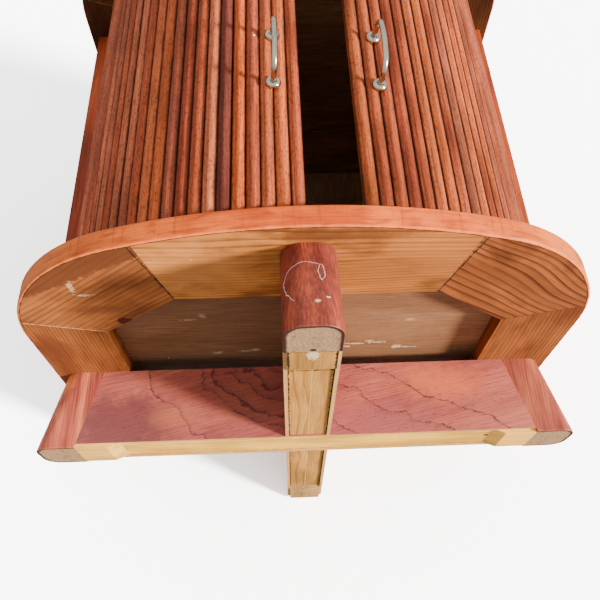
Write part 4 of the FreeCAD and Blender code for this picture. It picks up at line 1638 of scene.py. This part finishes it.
@dataclass
class Studio:
    """The pale backdrop and floor, the lights and the camera."""

    paleness: float = 3.0
    sky: float = 0.9
    sky_lean: float = 0.6
    key_strength: float = 14.5
    key_from: Triple = (0.856, -0.343, -0.385)
    key_width: float = 9.0
    key_colour: Colour = (1.0, 0.985, 0.96)
    sky_colour: Colour = (1.0, 0.99, 0.98)
    view: Triple = (0.02570, 0.87082, 0.49093)
    view_up: Triple = (0.02997, -0.49154, 0.87034)
    viewpoint: Triple = (-0.0222, -0.680, -0.2152)
    sensor: float = 36.0
    lens: float = 39.142
    wide: float = 6.0
    wall: float = 0.2886
    ground: float = -0.0006

    def sheet_material(self, name: str) -> bpy.types.Material:
        """A matt pale sheet that only its front shows, and only to the camera."""
        material = bpy.data.materials.new(name)
        material.use_nodes = True
        wiring = Wiring(material.node_tree)
        material.node_tree.nodes.remove(material.node_tree.nodes["Principled BSDF"])
        matt = wiring.node("ShaderNodeBsdfDiffuse")
        wiring.feed(matt.inputs["Color"], (self.paleness,) * 3)
        clear = wiring.node("ShaderNodeBsdfTransparent")
        camera = Wire(wiring, wiring.node("ShaderNodeLightPath").outputs["Is Camera Ray"])
        back = Wire(wiring, wiring.node("ShaderNodeNewGeometry").outputs["Backfacing"])
        seen = camera * back.times(-1.0, 1.0)
        both = wiring.node("ShaderNodeMixShader")
        wiring.feed(both.inputs[0], seen)
        wiring.tree.links.new(clear.outputs[0], both.inputs[1])
        wiring.tree.links.new(matt.outputs[0], both.inputs[2])
        out = material.node_tree.nodes["Material Output"]
        wiring.tree.links.new(both.outputs[0], out.inputs[0])
        return material

    def sheet(self, name: str, corners: Sequence[Triple]) -> None:
        """Lay one four-cornered sheet of the stage."""
        mesh = bpy.data.meshes.new(name)
        mesh.from_pydata(corners, [], [(0, 1, 2, 3)])
        thing = bpy.data.objects.new(name, mesh)
        bpy.context.scene.collection.objects.link(thing)
        thing.data.materials.append(self.sheet_material(f"{name}_matt"))
        thing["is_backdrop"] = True

    def lights(self) -> None:
        """Pale light from all round, stronger from above the front, and one soft key light."""
        world = bpy.data.worlds.new("studio_sky")
        bpy.context.scene.world = world
        world.use_nodes = True
        wiring = Wiring(world.node_tree)
        background = world.node_tree.nodes["Background"]
        way = Wire(wiring, wiring.node("ShaderNodeTexCoord").outputs["Generated"])
        toward = way.vector("DOT_PRODUCT", (0.0, -1.0, 0.0))
        wiring.feed(background.inputs["Strength"], toward.times(self.sky_lean, self.sky))
        wiring.feed(background.inputs["Color"], self.sky_colour)
        key = bpy.data.lights.new("key_light", "SUN")
        key.energy = self.key_strength
        key.angle = math.radians(self.key_width)
        key.color = self.key_colour
        thing = bpy.data.objects.new("key_light", key)
        thing.rotation_euler = Vector(self.key_from).to_track_quat("Z", "Y").to_euler()
        bpy.context.scene.collection.objects.link(thing)

    def camera(self) -> None:
        """Look up at the base from below the front."""
        view = Vector(self.view).normalized()
        right = view.cross(Vector(self.view_up)).normalized()
        up = right.cross(view)
        data = bpy.data.cameras.new("camera")
        data.sensor_width = self.sensor
        data.lens = self.lens
        data.clip_start = 0.01
        thing = bpy.data.objects.new("camera", data)
        turn = Matrix((right, up, -view)).transposed().to_4x4()
        thing.matrix_world = Matrix.Translation(self.viewpoint) @ turn
        bpy.context.scene.collection.objects.link(thing)
        bpy.context.scene.camera = thing

    def build(self) -> None:
        """Set up the whole stage."""
        wide, wall, ground = self.wide, self.wall, self.ground
        self.sheet("backdrop", [(-wide, wall, -wide), (wide, wall, -wide),
                                (wide, wall, wide), (-wide, wall, wide)])
        self.sheet("floor", [(-wide, -wide, ground), (wide, -wide, ground),
                             (wide, wide, ground), (-wide, wide, ground)])
        self.lights()
        self.camera()


# ---- assembly --------------------------------------------------------------------------------

def tones_named(names: str) -> tuple[SlatTone, ...]:
    """The tones whose names are listed, from the meeting edge on."""
    return tuple(SlatTone[name] for name in names.split())


BOTTOM_LEVEL = 0.087
TOP_LEVEL = 0.576
DOOR_SEED = 41
LEFT_TONES = tones_named(
    "CHESTNUT AMBER HONEY CHESTNUT EMBER PLUM ROSE CHESTNUT RUSSET MAUVE AMBER HONEY "
    "CHESTNUT ROSE DUN CHESTNUT DUN ROSE CHESTNUT DUN HONEY DUN CHESTNUT RUSSET AMBER "
    "DUN CHESTNUT MAUVE CHESTNUT")
RIGHT_TONES = tones_named(
    "AMBER CHESTNUT CHESTNUT RUSSET CHESTNUT HONEY AMBER RUSSET DUN HONEY CHESTNUT "
    "AMBER DUN CHESTNUT DUN ROSE CHESTNUT DUN CHESTNUT RUSSET CHESTNUT DUN AMBER "
    "CHESTNUT MAUVE CHESTNUT DUN RUSSET CHESTNUT")


@dataclass
class Cabinet:
    """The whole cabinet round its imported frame."""

    nodes: dict[str, bpy.types.Object]
    joints: list[dict]

    def axis(self, hand: Hand) -> Vector:
        """Where a door's track has its centre."""
        joint = next(item for item in self.joints if item["name"] == f"{hand.word}_door_slide")
        return Vector((joint["pos_m"][0], joint["pos_m"][1], 0.0))

    def dress_nodes(self, finishes: dict[str, Dressing]) -> None:
        """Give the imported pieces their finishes."""
        for node, finish in finishes.items():
            dress(self.nodes[node], finish.material())
            log.info("%s is dressed in %s", node, finish.name)

    def doors(self) -> None:
        """Both doors with their pulls."""
        # The second colour is the painted shade along the slats' edges.
        wood = SlatWood("slat_hardwood", (0.05, 0.014, 0.01), (0.022, 0.008, 0.006)).material()
        metal = Nickel("polished_nickel").material()
        cloth = Cloth("backing_canvas").material()
        steel = ScrewSteel("screw_steel").material()
        # Gains 1.16 and 0.66 brighten the left door's slats and darken the right door's: painted
        # light and shade that offset how the key light falls on the two doors.
        for hand, rest, tones, gain, pull in (
                (Hand.LEFT, 0.0, LEFT_TONES, 1.16, 252.5 * MM),
                (Hand.RIGHT, 13.3, RIGHT_TONES, 0.66, 247.5 * MM)):
            door = TambourDoor(hand, self.axis(hand), rest, tones,
                               random.Random(DOOR_SEED + hand.value), gain)
            door.build(wood)
            WirePull(door, pull).build(metal)
            dress(self.nodes[f"{hand.word}_door_canvas"], cloth)
            dress(self.nodes[f"{hand.word}_pull_screws"], steel)
        dress(self.nodes["base_screws"], steel)

    def panels(self) -> None:
        """The two D-shaped panels, the carcass boards and the lipping."""
        woods = CabinetWoods()
        self.dress_nodes({**woods.segments("bottom", BOTTOM_LEVEL),
                          **woods.segments("top", TOP_LEVEL), **woods.boards()})
        lower = BandWood("lower_band", (0.47, 0.062, 0.007), (0.70, 0.120, 0.014),
                         (0.22, 0.022, 0.004), (0.80, 0.20, 0.05), (0.58, 0.135, 0.016)).material()
        upper = BandWood("upper_band", (0.18, 0.026, 0.008), (0.28, 0.050, 0.012),
                         (0.08, 0.012, 0.005), (0.42, 0.13, 0.05), (0.2, 0.035, 0.01),
                         0.4).material()
        EdgeBand("lower_lipping", "bottom_edge_band", BOTTOM_LEVEL).build(lower)
        EdgeBand("upper_lipping", "top_edge_band", TOP_LEVEL).build(upper)

    def base(self) -> None:
        """The crossed beams and their noses."""
        self.dress_nodes(CabinetWoods().base_woods())
        tip = cabinet_y(0.048)
        bight = (0.0217, tip, 0.0535)
        thread = (((-0.003, tip, 0.0465), 0.0185, 1.0, math.pi),
                  ((0.010, tip, 0.0465), 0.0315, -math.pi, -2.42),
                  ((-0.0047, tip, 0.0535), 0.0157, -0.572, 0.572),
                  (bight, 0.0157, 2.57, math.pi), (bight, 0.0157, -math.pi, -2.57))
        crumbs = (Blot((0.004, tip, 0.024), (0.0030, 0.08, 0.0016), LIME, 0.8, 0.3, 3.0),
                  Blot((0.012, tip, 0.028), (0.0016, 0.08, 0.0010), LIME, 0.7, 0.3, 3.0),
                  Blot((0.0, cabinet_y(0.0448), 0.0), (0.0034, 0.0024, 0.005), PITCH, 1.0, 0.3))
        long_centre = (0.003, cabinet_y(0.03), 0.0)
        front_wood = NoseWood("front_nose_hardwood", (0.215, 0.038, 0.022), (0.12, 0.021, 0.015),
                              (0.30, 0.052, 0.022), long_centre, thread, crumbs)
        BeamNose("front_nose", "base_nose_front", 48 * MM, 20 * MM, Vector((0.0, tip, 0.0)),
                 0.0).build(front_wood.material())
        middle = cabinet_y(0.300)
        # Painted highlight: a bright orange patch near the top of the left nose.
        painted_highlight = (Blot((-0.275, middle, 0.078), (0.022, 0.08, 0.022), (0.95, 0.24, 0.035), 0.75,
                     0.8),)
        for hand, turn, gain, marks in ((Hand.LEFT, -90.0, 1.35, painted_highlight),
                                        (Hand.RIGHT, 90.0, 0.92, ())):
            side_wood = NoseWood(
                f"{hand.word}_nose_hardwood", scaled((0.36, 0.08, 0.042), gain),
                scaled((0.2, 0.036, 0.024), gain), scaled((0.46, 0.11, 0.05), gain),
                (hand.value * 0.27, middle, 0.0), marks=marks)
            joint = Vector((hand.value * 252 * MM, middle, 0.0))
            BeamNose(f"{hand.word}_nose", f"base_nose_{hand.word}", 56 * MM, 24 * MM, joint,
                     turn).build(side_wood.material())

    def build(self) -> None:
        """Make everything."""
        self.panels()
        self.base()
        self.doors()


def corners() -> list[list[float]]:
    """The whole object's lowest and highest corners as plain lists."""
    return [[float(part) for part in corner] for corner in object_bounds()]


def main() -> None:
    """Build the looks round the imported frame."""
    logging.basicConfig(level=logging.INFO, format="%(name)s: %(message)s")
    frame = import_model()
    Studio().build()
    Cabinet(frame["nodes"], frame["joints"]).build()


if __name__ == "__main__":
    main()
